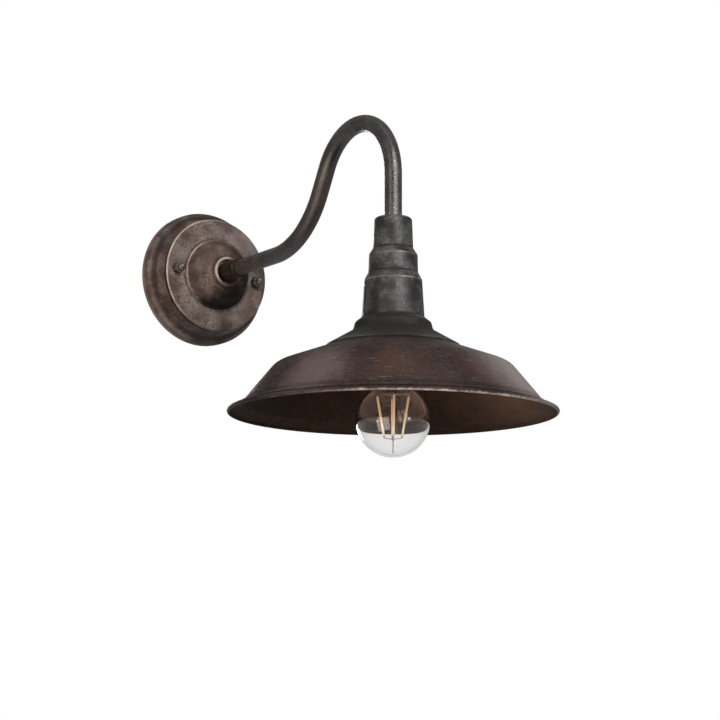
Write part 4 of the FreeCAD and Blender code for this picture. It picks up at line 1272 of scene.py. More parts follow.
def install(piece: bpy.types.Object, body: Body, slot: str, *nodes: str) -> None:
    """Fix a piece to its body and hide the solids it stands for.

    Args:
        piece: The finished piece.
        body: The body it rides on.
        slot: A material slot's name, which is not used.
        nodes: CAD nodes that it replaces.
    """
    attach(piece, body.value)
    if nodes:
        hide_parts(*nodes)
    LOG.info("%s: %d faces on %s", piece.name, len(piece.data.polygons), body.value)


def dress_nodes(finish: Finish, names: Iterable[str]) -> None:
    """Give CAD nodes whose shape stays a finish of their own.

    Args:
        finish: The finish.
        names: The nodes.
    """
    for name in names:
        dress(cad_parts[name], finish)
        LOG.info("%s: dressed in %s", name, finish.name)


# ---------------------------------------------------------------- the lamp
WALL = Lathe(Vector((0, 0, 0)), Vector((0, -1, 0)), Vector((1, 0, 0)))
LAMP = Lathe(Vector((0, -REACH * MM, 0)), Vector((0, 0, 1)), Vector((1, 0, 0)))


def draw_in(piece: bpy.types.Object,
            loss: Callable[[float, float, float], float | None]) -> None:
    """Draw vertices in towards the lamp's axis, for grips and threads.

    Args:
        piece: A piece that was turned about that axis.
        loss: Says from a vertex's radius in metres, its level in millimetres and its angle in
            radians what share of its radius it loses, or None where it stays.
    """
    for vertex in piece.data.vertices:
        arm = vertex.co - LAMP.origin
        flat = Vector((arm.x, arm.y))
        share = loss(flat.length, arm.z / MM, math.atan2(arm.y, arm.x))
        if share is not None:
            flat *= 1.0 - share
            vertex.co.x = LAMP.origin.x + flat.x
            vertex.co.y = LAMP.origin.y + flat.y


@dataclass
class WallCanopy:
    """Stepped canopy with its lip, and the bell boss on its face."""

    palette: Palette
    radius: float = 60.7
    depth: float = 28.8
    wall: float = 1.2
    face_radius: float = 49.95
    lip: float = 1.3
    lip_height: float = 2.6
    hole: float = 5.2
    boss_radius: float = 31.75
    boss_height: float = 20.9
    collar: float = 13.2
    mouth: float = 10.3
    ledge: float = 3.2
    stud_circle: float = 40.4
    stud_turn: float = 2.8
    stud_hole: float = 2.75
    drill: float = 8.0
    band: float = 8.6
    cove: Point = (54.8, 12.0)
    cove_inside: Point = (53.5, 11.4)
    bead: float = 1.4
    web: float = 2.6

    def build(self) -> None:
        """Model, dress and install the canopy and its boss."""
        self._shell()
        self._boss()

    def _shell(self) -> None:
        """Spun shell: band, rounded shoulder, cove and overhanging lip."""
        lip_low = self.depth - self.lip_height
        outside = [
            (self.radius, 0.0, 0.0), (self.radius, self.band, 4.0), (*self.cove, 9.0),
            (self.face_radius + 0.1, lip_low - 0.2, 0.3),
            (self.face_radius + self.lip, lip_low, 1.05),
            (self.face_radius + self.lip, self.depth, 1.25), (self.hole, self.depth, 0.0),
        ]
        inside = [
            (self.hole, self.depth - self.wall, 0.0),
            (self.face_radius - self.wall, self.depth - self.wall, 1.5),
            (*self.cove_inside, 9.5), (self.radius - self.wall, 8.0, 2.8),
            (self.radius - self.wall, 0.0, 0.0),
        ]
        piece = WALL.turn("canopy_shell_spun", rounded(outside + inside, steps=8), 128)
        self._pierce(piece)
        dress(piece, self.palette.canopy)
        install(piece, Body.FIXTURE, "rusted_brown", "canopy_shell")

    def _pierce(self, piece: bpy.types.Object) -> None:
        """Cut the two stud holes.

        Args:
            piece: The canopy's shell.
        """
        for side in (0.0, 180.0):
            deselect()
            place = WALL.at(self.stud_circle, self.depth, side - self.stud_turn)
            bpy.ops.mesh.primitive_cylinder_add(
                vertices=24, radius=self.stud_hole * MM, depth=self.drill * MM, location=place,
                rotation=(math.pi / 2, 0, 0))
            drill = bpy.context.object
            apply_modifier(piece, "BOOLEAN", object=drill, operation="DIFFERENCE", solver="EXACT")
            bpy.data.objects.remove(drill)
        settle(piece, piece.name, 35.0)

    def _boss(self) -> None:
        """Cast bell with a bead at its foot and a turned collar."""
        top = self.depth + self.boss_height
        bead = self.depth + self.bead
        ledge = top - self.ledge
        outline = [
            (self.boss_radius - 2.0, self.depth, 0.0), (self.boss_radius, self.depth, 0.0),
            (self.boss_radius, bead, 0.65), (30.35, bead, 0.3), (25.6, self.depth + 12.6, 7.6),
            (13.9, top - 3.4, 1.6), (self.collar, top, 1.25), (self.mouth, top, 1.25),
            (self.mouth, ledge, 0.3), (self.hole, ledge, 0.0), (self.hole, ledge - self.web, 0.0),
            (11.9, ledge - self.web, 1.0), (23.6, self.depth + 10.6, 5.6),
        ]
        piece = WALL.turn("canopy_boss_cast", rounded(outline, steps=10), 112)
        dress(piece, self.palette.boss)
        install(piece, Body.FIXTURE, "rusted_brown", "canopy_boss")


@dataclass
class CanopyFixings:
    """The two domed nuts with their washers."""

    palette: Palette
    circle: float = 40.4
    turn: float = 2.8
    seat: float = 28.8
    washer: float = 5.0
    washer_height: float = 1.0
    flats: float = 8.0
    hex_height: float = 5.2
    dome: float = 3.8
    dome_steps: int = 12
    bevel: float = 0.35
    bore: float = 2.75

    def build(self) -> None:
        """Model one nut and washer, then copy them to the second stud."""
        nut = self._nut()
        washer = self._washer()
        shift = WALL.at(self.circle, 0, 180 - self.turn) - WALL.at(self.circle, 0, -self.turn)
        for made, finish, node in ((nut, self.palette.dome, "cap_nuts"),
                                   (washer, self.palette.fastener, "cap_washers")):
            dress(made, finish)
            twin = copy_at(made, made.name + "_left", shift)
            made.name += "_right"
            install(made, Body.FIXTURE, "dark_fastener", node)
            install(twin, Body.FIXTURE, "dark_fastener", node)

    def _stud(self) -> Lathe:
        """The axis of the right-hand stud."""
        return Lathe(WALL.at(self.circle, 0, -self.turn), WALL.up, WALL.side)

    def _nut(self) -> bpy.types.Object:
        """Hexagon with turned corners, a waist and a dome.

        Returns:
            The nut.
        """
        low = self.seat + self.washer_height
        corner = self.flats / 2 / math.cos(math.radians(30))
        place = WALL.at(self.circle, low + self.hex_height / 2, -self.turn)
        deselect()
        bpy.ops.mesh.primitive_cylinder_add(
            vertices=6, radius=corner * MM, depth=self.hex_height * MM, location=place,
            rotation=(math.pi / 2, 0, 0))
        hexagon = bpy.context.object
        apply_modifier(hexagon, "BEVEL", width=self.bevel * MM, segments=3)
        top = low + self.hex_height
        dome = [(0.0, top - 0.6), (self.dome + 0.25, top - 0.6), (self.dome + 0.25, top + 0.3),
                (self.dome - 0.15, top + 0.55)]
        for k in range(1, self.dome_steps + 1):
            angle = math.pi / 2 * k / self.dome_steps
            dome.append((self.dome * math.cos(angle), top + 1.0 + (self.dome * math.sin(angle))))
        dome[-1] = (0.0, dome[-1][1])
        head = self._stud().turn("cap_nut_dome", dome, 40, closed=False)
        return settle(join([hexagon, head], "cap_nut"), "cap_nut", 40)

    def _washer(self) -> bpy.types.Object:
        """Plain washer with a rolled outer edge.

        Returns:
            The washer.
        """
        top = self.seat + self.washer_height
        return self._stud().turn("cap_washer", rounded([
            (self.bore, self.seat, 0.1), (self.washer, self.seat, 0.15), (self.washer, top, 0.45),
            (self.bore, top, 0.2)], steps=4), 48)


@dataclass
class GooseneckArm:
    """Bent tube and the black ferrule at its root."""

    palette: Palette
    tube: float = 7.08
    tube_wall: float = 1.0
    first_run: float = 131.9
    rise_bend: float = 79.4
    rise_angle: float = 60.7
    crook_bend: float = 52.3
    ferrule: float = 8.8
    ferrule_low: float = 46.5
    ferrule_top: float = 70.5
    insertion: float = 16.0
    tail: float = 20.7
    thread: float = 4.95
    bore: float = 3.9
    neck_top: float = 1.5
    play: float = 0.05
    rim_depth: float = 0.9

    def build(self) -> None:
        """Model, dress and install the tube and the ferrule."""
        self._tube()
        self._ferrule()

    def _tube(self) -> None:
        """Ring of the tube's section, extruded along the straights and spun round the bends."""
        rise = math.radians(self.rise_angle)
        start = self.ferrule_top - self.insertion
        level = (REACH - self.first_run - self.rise_bend * math.sin(rise)
                 - self.crook_bend * (1 + math.sin(rise)))
        slope = level / math.cos(rise)
        deselect()
        bpy.ops.mesh.primitive_circle_add(
            vertices=40, radius=self.tube * MM, fill_type="NOTHING", location=(0, -start * MM, 0),
            rotation=(math.pi / 2, 0, 0))
        piece = bpy.context.object
        bpy.ops.object.transform_apply(rotation=True)
        bpy.ops.object.mode_set(mode="EDIT")
        bpy.ops.mesh.select_all(action="SELECT")
        place = Vector((0, -start, 0))
        heading = Vector((0, -1, 0))
        place = self._straight(place, heading, self.first_run - start, 8)
        place, heading = self._bend(place, heading, self.rise_bend, self.rise_angle, True, 22)
        place = self._straight(place, heading, slope, 3)
        place, heading = self._bend(place, heading, self.crook_bend, self.rise_angle + 90, False,
                                    44)
        self._straight(place, heading, place.z + self.neck_top, 5)
        bpy.ops.object.mode_set(mode="OBJECT")
        clean(piece)
        apply_modifier(piece, "SOLIDIFY", thickness=self.tube_wall * MM, offset=-1.0)
        settle(piece, "arm_tube_bent")
        dress(piece, self.palette.arm)
        install(piece, Body.FIXTURE, "charcoal_iron", "arm_tube")

    @staticmethod
    def _straight(place: Vector, heading: Vector, run: float, parts: int) -> Vector:
        """Extrude the open end in equal steps.

        Args:
            place: Centre of the open end, in millimetres.
            heading: Its direction.
            run: How far it goes.
            parts: How many steps it takes.

        Returns:
            The new place.
        """
        for _ in range(parts):
            bpy.ops.mesh.extrude_region_move(
                TRANSFORM_OT_translate={"value": heading * (run / parts * MM)})
        return place + heading * run

    @staticmethod
    def _bend(place: Vector, heading: Vector, radius: float, angle: float, upwards: bool,
              steps: int) -> tuple[Vector, Vector]:
        """Spin the open end round a bend in the plane of the arm.

        Args:
            place: Centre of the open end, in millimetres.
            heading: Its direction.
            radius: The bend's radius.
            angle: The bend's angle in degrees.
            upwards: Whether the arm turns to its left as seen from the -X side.
            steps: Rings along the bend.

        Returns:
            The new place and heading.
        """
        sign = -1.0 if upwards else 1.0
        turn = Matrix.Rotation(math.radians(sign * angle), 3, "X")
        to_centre = heading.copy()
        to_centre.rotate(Matrix.Rotation(math.radians(sign * 90), 3, "X"))
        centre = place + to_centre * radius
        bpy.ops.mesh.spin(steps=steps, angle=math.radians(-sign * angle), center=centre * MM,
                          axis=(1, 0, 0), use_auto_merge=False)
        return centre + turn @ (place - centre), turn @ heading

    def _ferrule(self) -> None:
        """Sleeve with a rolled mouth and its hollow threaded tail."""
        seat = self.ferrule_top - self.insertion
        mouth = self.tube + self.play
        outline = [
            (self.bore, self.tail, 0.0), (self.thread, self.tail, 0.4),
            (self.thread, self.ferrule_low, 0.0), (self.ferrule, self.ferrule_low, 0.5),
            (self.ferrule, self.ferrule_top - 3.0, 0.2), (self.ferrule, self.ferrule_top, 0.7),
            (mouth, self.ferrule_top, 0.4), (mouth, seat, 0.0), (self.bore, seat, 0.4),
        ]
        piece = WALL.turn("arm_ferrule_sleeve", rounded(outline, steps=5), 72)
        dress(piece, self.palette.ferrule)
        rim = self.ferrule_top * MM - self.rim_depth * MM
        dress_where(piece, self.palette.fastener, lambda face: -face.center.y > rim)
        install(piece, Body.FIXTURE, "black_sleeve", "arm_ferrule")


@dataclass
class SocketNeck:
    """Three-tier spun housing over the lampholder."""

    palette: Palette
    wall: float = 1.5
    hole: float = 5.2

    def build(self) -> None:
        """Spin the housing, with a fine groove above each step."""
        outside = [
            (self.hole, -1.5, 0.0), (15.05, -1.5, 3.0), (15.9, -25.4, 0.5), (15.75, -26.1, 0.3),
            (19.45, -32.0, 1.2), (19.75, -45.0, 0.5), (19.6, -45.8, 0.3), (23.0, -52.2, 1.2),
            (24.75, -81.2, 0.5), (24.6, -82.0, 0.3), (30.2, -86.6, 1.7), (31.8, -92.8, 5.0),
            (52.8, -104.85, 0.0),
        ]
        outline = rounded(offset_sheet(outside, -self.wall), steps=6)
        piece = LAMP.turn("neck_housing_spun", outline, 112)
        dress(piece, self.palette.charcoal)
        install(piece, Body.FIXTURE, "charcoal_iron", "neck_housing")


@dataclass
class BarnShade:
    """Spun shade with its rolled rim, and the ring that clamps it."""

    palette: Palette
    hole: float = 20.5
    wall: float = 1.2
    flat: float = -97.18
    flat_radius: float = 27.0
    shoulder: float = 93.4
    lip_start: float = 117.6
    radius: float = 130.0
    bead: float = 1.6
    crown_angle: float = 19.7
    side_angle: float = 50.6
    lip_angle: float = 30.2
    ring_bore: float = 20.05
    ring_radius: float = 26.0
    ring_height: float = 5.6
    grips: int = 24
    grip_depth: float = 0.03
    grip_from: float = 1.4
    ring_wall: float = 2.55
    flange: float = 2.0
    bead_gap: float = 1.2
    bead_steps: int = 16
    bead_start: float = 125.0
    bead_turn: float = 275.0

    def build(self) -> None:
        """Model, dress and install the shade and its ring."""
        self._bowl()
        self._ring()

    def _levels(self) -> tuple[float, float, float]:
        """Work out the shade's levels.

        Returns:
            Heights of the shoulder, of the lip's start and of the rim.
        """
        crown = math.tan(math.radians(self.crown_angle))
        shoulder = self.flat - (self.shoulder - self.flat_radius) * crown
        lip = shoulder - (self.lip_start - self.shoulder) * math.tan(math.radians(self.side_angle))
        rim = lip - (self.radius - self.lip_start) * math.tan(math.radians(self.lip_angle))
        return shoulder, lip, rim

    def _bowl(self) -> None:
        """Sheet outline with a round bead rolled at the rim."""
        shoulder, lip, rim = self._levels()
        slope = math.tan(math.radians(self.lip_angle))
        bead_at = self.radius - self.bead
        outside = [
            (self.hole, self.flat, 0.0), (self.flat_radius, self.flat, 6.0),
            (self.shoulder, shoulder, 16.0), (self.lip_start, lip, 8.0),
            (bead_at - self.bead_gap, rim + slope * (self.bead + self.bead_gap), 0.0),
        ]
        closed = offset_sheet(outside, -self.wall)
        count = len(outside)
        front = rounded(closed[:count], closed=False, steps=12)
        back = rounded(closed[count:], closed=False, steps=12)
        roll = []
        for k in range(self.bead_steps + 1):
            angle = math.radians(self.bead_start - self.bead_turn * k / self.bead_steps)
            roll.append((bead_at + self.bead * math.cos(angle), rim + self.bead * math.sin(angle)))
        piece = LAMP.turn("shade_spun", front + roll + back, 160)
        axis = LAMP.origin
        dress(piece, self.palette.shade_out)

        def faces_in(face: bpy.types.MeshPolygon) -> bool:
            """Say whether a face is on the inside.

            Args:
                face: A face of the shade.

            Returns:
                Whether it looks down or towards the axis, and lies within the bead.
            """
            out = face.center - axis
            out.z = 0.0
            inwards = face.normal.dot(out.normalized()) + face.normal.z < 0
            return inwards and out.length < (bead_at - 0.2) * MM

        dress_where(piece, self.palette.shade_in, faces_in)
        install(piece, Body.FIXTURE, "rusted_brown", "shade")

    def _ring(self) -> None:
        """Bakelite ring with a ribbed grip."""
        top = self.flat - self.wall
        low = top - self.ring_height
        outline = [
            (self.ring_bore, low, 0.3), (self.ring_bore + self.ring_wall, low, 0.8),
            (self.ring_bore + self.ring_wall, top - self.flange, 0.5),
            (self.ring_radius, top - self.flange, 0.6), (self.ring_radius, top, 0.6),
            (self.ring_bore, top, 0.3),
        ]
        piece = LAMP.turn("shade_ring_moulded", rounded(outline, steps=4), 192)
        draw_in(piece, self._grip)
        dress(piece, self.palette.bakelite)
        install(piece, Body.FIXTURE, "black_bakelite", "shade_ring")

    def _grip(self, radius: float, level: float, angle: float) -> float | None:
        """Say how deep the ring's grip is at one place.

        Args:
            radius: Distance from the axis, in metres.
            level: Height, which the grip doesn't depend on.
            angle: Angle round the axis, in radians.

        Returns:
            The share of the radius that is lost, or None inside the ring.
        """
        if radius <= (self.ring_bore + self.grip_from) * MM:
            return None
        return self.grip_depth * max(0.0, math.cos(self.grips * angle) - 0.3)


@dataclass
class Lampholder:
    """Bakelite lampholder, its brass and the threaded parts above it."""

    palette: Palette
    radius: float = 20.0
    bore: float = 14.3
    inside: float = 18.0
    mouth: float = -121.98
    core_bottom: float = -92.98
    joint: float = -73.98
    ribs: int = 36
    rib_low: float = -118.5
    rib_high: float = -107.0
    rib_depth: float = 0.03
    turns: int = 7
    pitch: float = 1.9

    def build(self) -> None:
        """Model the ribbed skirt and dress what keeps its CAD shape."""
        self._skirt()
        palette = self.palette
        dress_nodes(palette.bakelite, ["holder_cap"])
        dress_nodes(palette.ceramic, ["holder_core"])
        dress_nodes(palette.brass, ["screw_shell", "centre_contact", "contact_rivets",
                                    "holder_terminals", "neck_nipple", "arm_end_bush"])
        dress_nodes(palette.zinc, ["holder_screws", "holder_jam_nut", "neck_lock_nut",
                                   "neck_lock_washer"])

    def _skirt(self) -> None:
        """Tube with grip ribs near the mouth and thread turns above them."""
        outline = [
            (self.bore, self.mouth, 0.8), (self.radius - 0.6, self.mouth, 0.8),
            (self.radius - 0.3, self.rib_low, 0.0), (self.radius, self.rib_low + 0.6, 0.0),
        ]
        start = self.rib_high + 1.0
        outline.append((self.radius, self.rib_high, 0.0))
        for k in range(self.turns):
            level = start + k * self.pitch
            outline += [(self.radius - 0.02, level, 0.3),
                        (self.radius - 0.5, level + self.pitch / 2, 0.3)]
        outline += [(self.radius, start + self.turns * self.pitch, 0.3),
                    (self.radius, self.joint, 0.3), (self.inside, self.joint, 0.0),
                    (self.inside, self.core_bottom, 0.0), (self.bore, self.core_bottom, 0.0)]
        piece = LAMP.turn("holder_skirt_moulded", rounded(outline, steps=3), self.ribs * 6)
        draw_in(piece, self._rib)
        dress(piece, self.palette.bakelite)
        install(piece, Body.FIXTURE, "black_bakelite", "holder_skirt")

    def _rib(self, radius: float, level: float, angle: float) -> float | None:
        """Say how deep the skirt's ribs are at one place.

        Args:
            radius: Distance from the axis, in metres.
            level: Height, in millimetres.
            angle: Angle round the axis, in radians.

        Returns:
            The share of the radius that is lost, or None where there are no ribs.
        """
        ribbed = self.rib_low < level < self.rib_high + 0.5
        if not ribbed or radius <= (self.radius - 1) * MM:
            return None
        return self.rib_depth * (0.5 - 0.5 * math.cos(self.ribs * angle))


@dataclass
class GlobeBulb:
    """Screw-in globe bulb: cap, glass, stem, filaments and their supports."""

    palette: Palette
    cap_radius: float = 13.0
    cap_top: float = -102.98
    cap_bottom: float = -124.98
    pitch: float = 3.629
    thread_depth: float = 0.85
    globe: float = 29.25
    globe_level: float = -163.58
    glass_wall: float = 0.8
    neck: float = 13.5
    blend: float = 10.0
    root: float = 12.2
    root_top: float = -113.98
    filament_radius: float = 0.9
    filament_top: float = -144.91
    filament_foot: float = -175.93
    top_circle: float = 12.4
    foot_circle: float = 7.2
    first_filament: float = -31.0
    filaments: int = 4
    stem_end: float = -142.98
    lead: float = 0.35
    thread_top: float = 1.4
    thread_low: float = 2.6
    thread_rings: int = 80
    run_out: float = 2.0
    cap_wall: float = 1.45
    cone_radius: float = 11.9
    cone_height: float = 3.5
    flare_radius: float = 11.35
    pinch_level: float = -134.0
    pinch_reach: float = 4.0
    pinch: float = 0.35
    hub_drop: float = 3.0
    rod_tail: float = 10.9
    rod: float = 0.5
    foot_wire: float = 0.38
    crimp: float = 0.8
    collar: Point = (0.45, 1.3)

    def build(self) -> None:
        """Model, dress and install every piece of the bulb."""
        self._glass()
        self._cap()
        self._foot()
        self._stem()
        self._filaments()
        self._leads()
        self._frame()
        dress_nodes(self.palette.board, ["driver_board"])

    def _glass_side(self, inset: float) -> list[Point]:
        """Half outline of the glass, from its root down to the axis.

        Args:
            inset: How far it is drawn in.

        Returns:
            (radius, height) points.
        """
        globe, blend, neck = self.globe - inset, self.blend + inset, self.neck - inset
        rise = math.sqrt((globe + blend) ** 2 - (neck + blend) ** 2)
        slant = math.atan2(rise, neck + blend)
        side = [(self.root - inset, self.root_top), (self.root - inset, self.cap_bottom - 0.3),
                (neck, self.cap_bottom - 1.8)]
        for k in range(13):
            angle = math.pi + slant * k / 12
            side.append((neck + blend + blend * math.cos(angle),
                         self.globe_level + rise + blend * math.sin(angle)))
        for k in range(1, 49):
            angle = slant - (slant + math.pi / 2) * k / 48
            side.append((globe * math.cos(angle), self.globe_level + globe * math.sin(angle)))
        side[-1] = (0.0, self.globe_level - globe)
        return side

    def _glass(self) -> None:
        """Closed glass skin: outside down to the tip, then back up inside."""
        outside = self._glass_side(0.0)
        inside = self._glass_side(self.glass_wall)[::-1]
        piece = LAMP.turn("bulb_glass_blown", outside + inside, 128)
        dress(piece, self.palette.glass)
        install(piece, Body.BULB, "clear_glass", "bulb_glass")

    def _cap(self) -> None:
        """Nickel cap with its rolled helical thread."""
        top, low = self._thread()
        inside = self.cap_radius - self.cap_wall
        outline = [(self.cone_radius, self.cap_top), (12.4, self.cap_top - 0.7)]
        for k in range(self.thread_rings + 1):
            outline.append((self.cap_radius, top - (top - low) * k / self.thread_rings))
        outline += [(self.cap_radius - 0.1, self.cap_bottom + 1.8),
                    (self.cap_radius, self.cap_bottom), (self.cap_radius - 0.5, self.cap_bottom),
                    (inside, self.cap_bottom + 2.2), (inside, self.cap_top - 1.6),
                    (11.3, self.cap_top)]
        piece = LAMP.turn("bulb_cap_rolled", outline, 72)
        draw_in(piece, self._helix)
        clean(piece)
        settle(piece, piece.name, 60)
        dress(piece, self.palette.nickel)
        install(piece, Body.BULB, "nickel_cap", "bulb_cap")

    def _thread(self) -> Point:
        """Levels between which the cap's thread runs, the upper one first."""
        return self.cap_top - self.thread_top, self.cap_bottom + self.thread_low

    def _helix(self, radius: float, level: float, angle: float) -> float | None:
        """Say how deep the cap's thread is at one place.

        Args:
            radius: Distance from the axis, in metres.
            level: Height, in millimetres.
            angle: Angle round the axis, in radians.

        Returns:
            The share of the radius that is lost, or None where there is no thread.
        """
        top, low = self._thread()
        if not low < level < top or radius < (self.cap_radius - 0.6) * MM:
            return None
        phase = 2 * math.pi * level / self.pitch - angle
        fade = min(1.0, (top - level) / self.run_out, (level - low) / self.run_out)
        return self.thread_depth * fade * (0.5 - 0.5 * math.cos(phase)) / self.cap_radius

    def _foot(self) -> None:
        """Black glass cone and the solder-topped eyelet."""
        top = self.cap_top + self.cone_height
        cone = LAMP.turn("bulb_insulator_cone", [(0.0, self.cap_top), *rounded([
            (self.cone_radius, self.cap_top, 0.0), (11.5, self.cap_top + 0.9, 0.5),
            (5.4, top, 0.5), (0.0, top, 0.0)], closed=False, steps=4)], 64, closed=False)
        dress(cone, self.palette.black_glass)
        install(cone, Body.BULB_FOOT, "black_glass", "bulb_insulator")
        eyelet = LAMP.turn("bulb_eyelet_dome", [(0.0, top), *rounded([
            (4.8, top, 0.0), (4.6, top + 0.7, 0.35), (2.0, top + 0.85, 0.6), (0.0, top + 1.0, 0.0)],
            closed=False, steps=4)], 48, closed=False)
        dress(eyelet, self.palette.nickel)
        install(eyelet, Body.BULB_FOOT, "nickel_cap", "bulb_eyelet")

    def _stem(self) -> None:
        """Glass flare drawn out to a stem that is pinched at its end."""
        top = self.root_top
        outline = [(0.0, top - 1.0, 0.0), (10.15, top, 0.0), (self.flare_radius, top, 0.3),
                   (self.flare_radius, top - 1.2, 0.4), (3.6, top - 8.0, 4.0), (2.7, -137.5, 1.0),
                   (2.9, -140.0, 1.0), (2.5, self.stem_end, 1.4), (0.0, self.stem_end, 0.0)]
        piece = LAMP.turn("bulb_stem_drawn", rounded(outline, closed=False, steps=6), 48,
                          closed=False)
        for vertex in piece.data.vertices:
            below = self.pinch_level - vertex.co.z / MM
            if below > 0:
                vertex.co.x *= 1.0 - min(1.0, below / self.pinch_reach) * self.pinch
        dress(piece, self.palette.stem_glass)
        install(piece, Body.BULB, "clear_glass", "bulb_stem")

    def _ends(self, index: int) -> tuple[Vector, Vector]:
        """Find both ends of a filament.

        Args:
            index: Which filament.

        Returns:
            Its top and its foot, in metres.
        """
        angle = self.first_filament + 360 * index / self.filaments
        return (LAMP.at(self.top_circle, self.filament_top, angle),
                LAMP.at(self.foot_circle, self.filament_foot, angle))

    def _filaments(self) -> None:
        """Coated rods, each with a bare metal tab at both ends."""
        rods = []
        for index in range(self.filaments):
            top, foot = self._ends(index)
            along = top - foot
            turn = along.to_track_quat("Z", "Y")
            deselect()
            bpy.ops.mesh.primitive_cylinder_add(
                vertices=20, radius=self.filament_radius * MM, depth=along.length - 0.6 * MM,
                location=(top + foot) / 2, rotation=turn.to_euler())
            rod = bpy.context.object
            apply_modifier(rod, "BEVEL", width=0.5 * MM, segments=4, limit_method="ANGLE")
            rods.append(settle(rod, f"filament_{index}"))
        piece = join(rods, "led_filament_rods")
        dress(piece, self.palette.filament)
        install(piece, Body.BULB, "filament_coat", "led_filaments")

    def _leads(self) -> None:
        """Lead wires from the pinch out to the top of each filament."""
        wires = []
        for index in range(self.filaments):
            top, foot = self._ends(index)
            along = (top - foot).normalized()
            angle = self.first_filament + 360 * index / self.filaments
            start = LAMP.at(1.4, self.stem_end - 0.4, angle)
            crook = LAMP.at(7.0, self.stem_end + 0.1, angle)
            wires.append(wire_through(
                f"lead_{index}",
                [start, crook, top + along * 1.9 * MM, top - along * 0.4 * MM], self.lead))
        piece = join(wires, "filament_lead_wires")
        dress(piece, self.palette.support)
        install(piece, Body.BULB, "support_wire", "filament_leads")

    def _frame(self) -> None:
        """Middle rod with an arm to the foot of each filament, and the collar they meet at."""
        level = self.filament_foot - self.hub_drop
        hub = LAMP.at(0.0, level)
        tail = hub - Vector((0, 0, self.rod_tail * MM))
        parts = [wire_through("rod", [LAMP.at(0, self.stem_end - 0.1), hub, tail], self.rod)]
        for index in range(self.filaments):
            top, foot = self._ends(index)
            along = (foot - top).normalized()
            bent = [foot - along * 0.4 * MM, foot + along * 2.0 * MM, hub]
            parts.append(wire_through(f"arm_{index}", bent, self.foot_wire))
            held = [foot + along * 0.2 * MM, foot + along * 1.7 * MM]
            parts.append(wire_through(f"crimp_{index}", held, self.crimp))
        bore, radius = self.collar
        parts.append(LAMP.turn("collar", rounded([
            (bore, level - 0.9, 0.1), (radius, level - 0.9, 0.3), (radius, level + 0.9, 0.3),
            (bore, level + 0.9, 0.1)], steps=3), 20))
        piece = join(parts, "filament_frame")
        dress(piece, self.palette.support)
        install(piece, Body.BULB, "support_wire", "filament_rod")


@dataclass
class CanopyInside:
    """Bracket, studs, earth post and wiring behind the canopy."""

    palette: Palette
    washer_inner: float = 5.2
    washer_outer: float = 8.6
    washer_low: float = 26.7
    washer_top: float = 27.6
    teeth: int = 16
    sheet: float = 0.3
    notch: float = 0.8

    def build(self) -> None:
        """Dress the pieces that keep their CAD shape and cut the toothed washer."""
        palette = self.palette
        dress_nodes(palette.zinc, ["wall_bracket", "bracket_studs", "stud_nuts", "arm_lock_nut",
                                   "earth_stud", "earth_nut", "clamp_screws", "block_screws"])
        dress_nodes(palette.tinned, ["earth_tag"])
        dress_nodes(palette.brass, ["terminal_inserts"])
        dress_nodes(palette.nylon, ["terminal_block"])
        dress_nodes(palette.live, ["live_wire"])
        dress_nodes(palette.neutral, ["neutral_wire"])
        dress_nodes(palette.earth, ["earth_wire"])
        self._toothed_washer()

    def _toothed_washer(self) -> None:
        """Spring washer whose outer edge is cut into teeth."""
        middle = (self.washer_low + self.washer_top) / 2
        low, top = middle - self.sheet, middle + self.sheet
        outline = [(self.washer_inner, low), (self.washer_outer, low), (self.washer_outer, top),
                   (self.washer_inner, top)]
        piece = WALL.turn("arm_lock_washer_toothed", outline, self.teeth * 4)
        for vertex in piece.data.vertices:
            radius = math.hypot(vertex.co.x, vertex.co.z) / MM
            angle = math.atan2(vertex.co.z, vertex.co.x)
            if radius > self.washer_inner + 1 and math.cos(self.teeth * angle) > 0.5:
                vertex.co.x *= self.notch
                vertex.co.z *= self.notch
        dress(piece, self.palette.zinc)
        install(piece, Body.FIXTURE, "zinc_steel", "arm_lock_washer")


@dataclass(frozen=True)
class SoftBox:
    """A soft box; its lengths are in metres.

    Attributes:
        name: Its name.
        place: Where it stands.
        aim: What it points at.
        size: Its width and height.
        power: Watts.
        tint: Its colour.
    """

    name: str
    place: Corner
    aim: Corner
    size: Point
    power: float
    tint: Colour = (1.0, 1.0, 1.0)


SOFT_BOXES = (
    SoftBox("main", (-0.2, -2.2, 1.05), (0.0, -0.2, -0.03), (0.35, 1.3), 42.0, (1.0, 0.98, 0.96)),
    SoftBox("side", (-1.7, -0.9, 0.6), (0.0, -0.15, -0.05), (0.4, 1.3), 6.0, (1.0, 0.97, 0.94)),
    SoftBox("low", (-1.6, -1.0, -0.75), (0.1, -0.3, -0.12), (1.3, 1.3), 20.0, (1.0, 0.90, 0.80)),
    SoftBox("right", (0.54, -2.13, 0.3), (0.0, -0.25, -0.05), (0.3, 1.3), 8.0),
    SoftBox("top", (-0.1, -0.5, 2.2), (0.0, -0.15, 0.0), (0.8, 0.8), 2.0),
    SoftBox("back", (0.7, 2.0, 0.3), (0.0, -0.15, 0.0), (0.8, 0.8), 12.0),
)


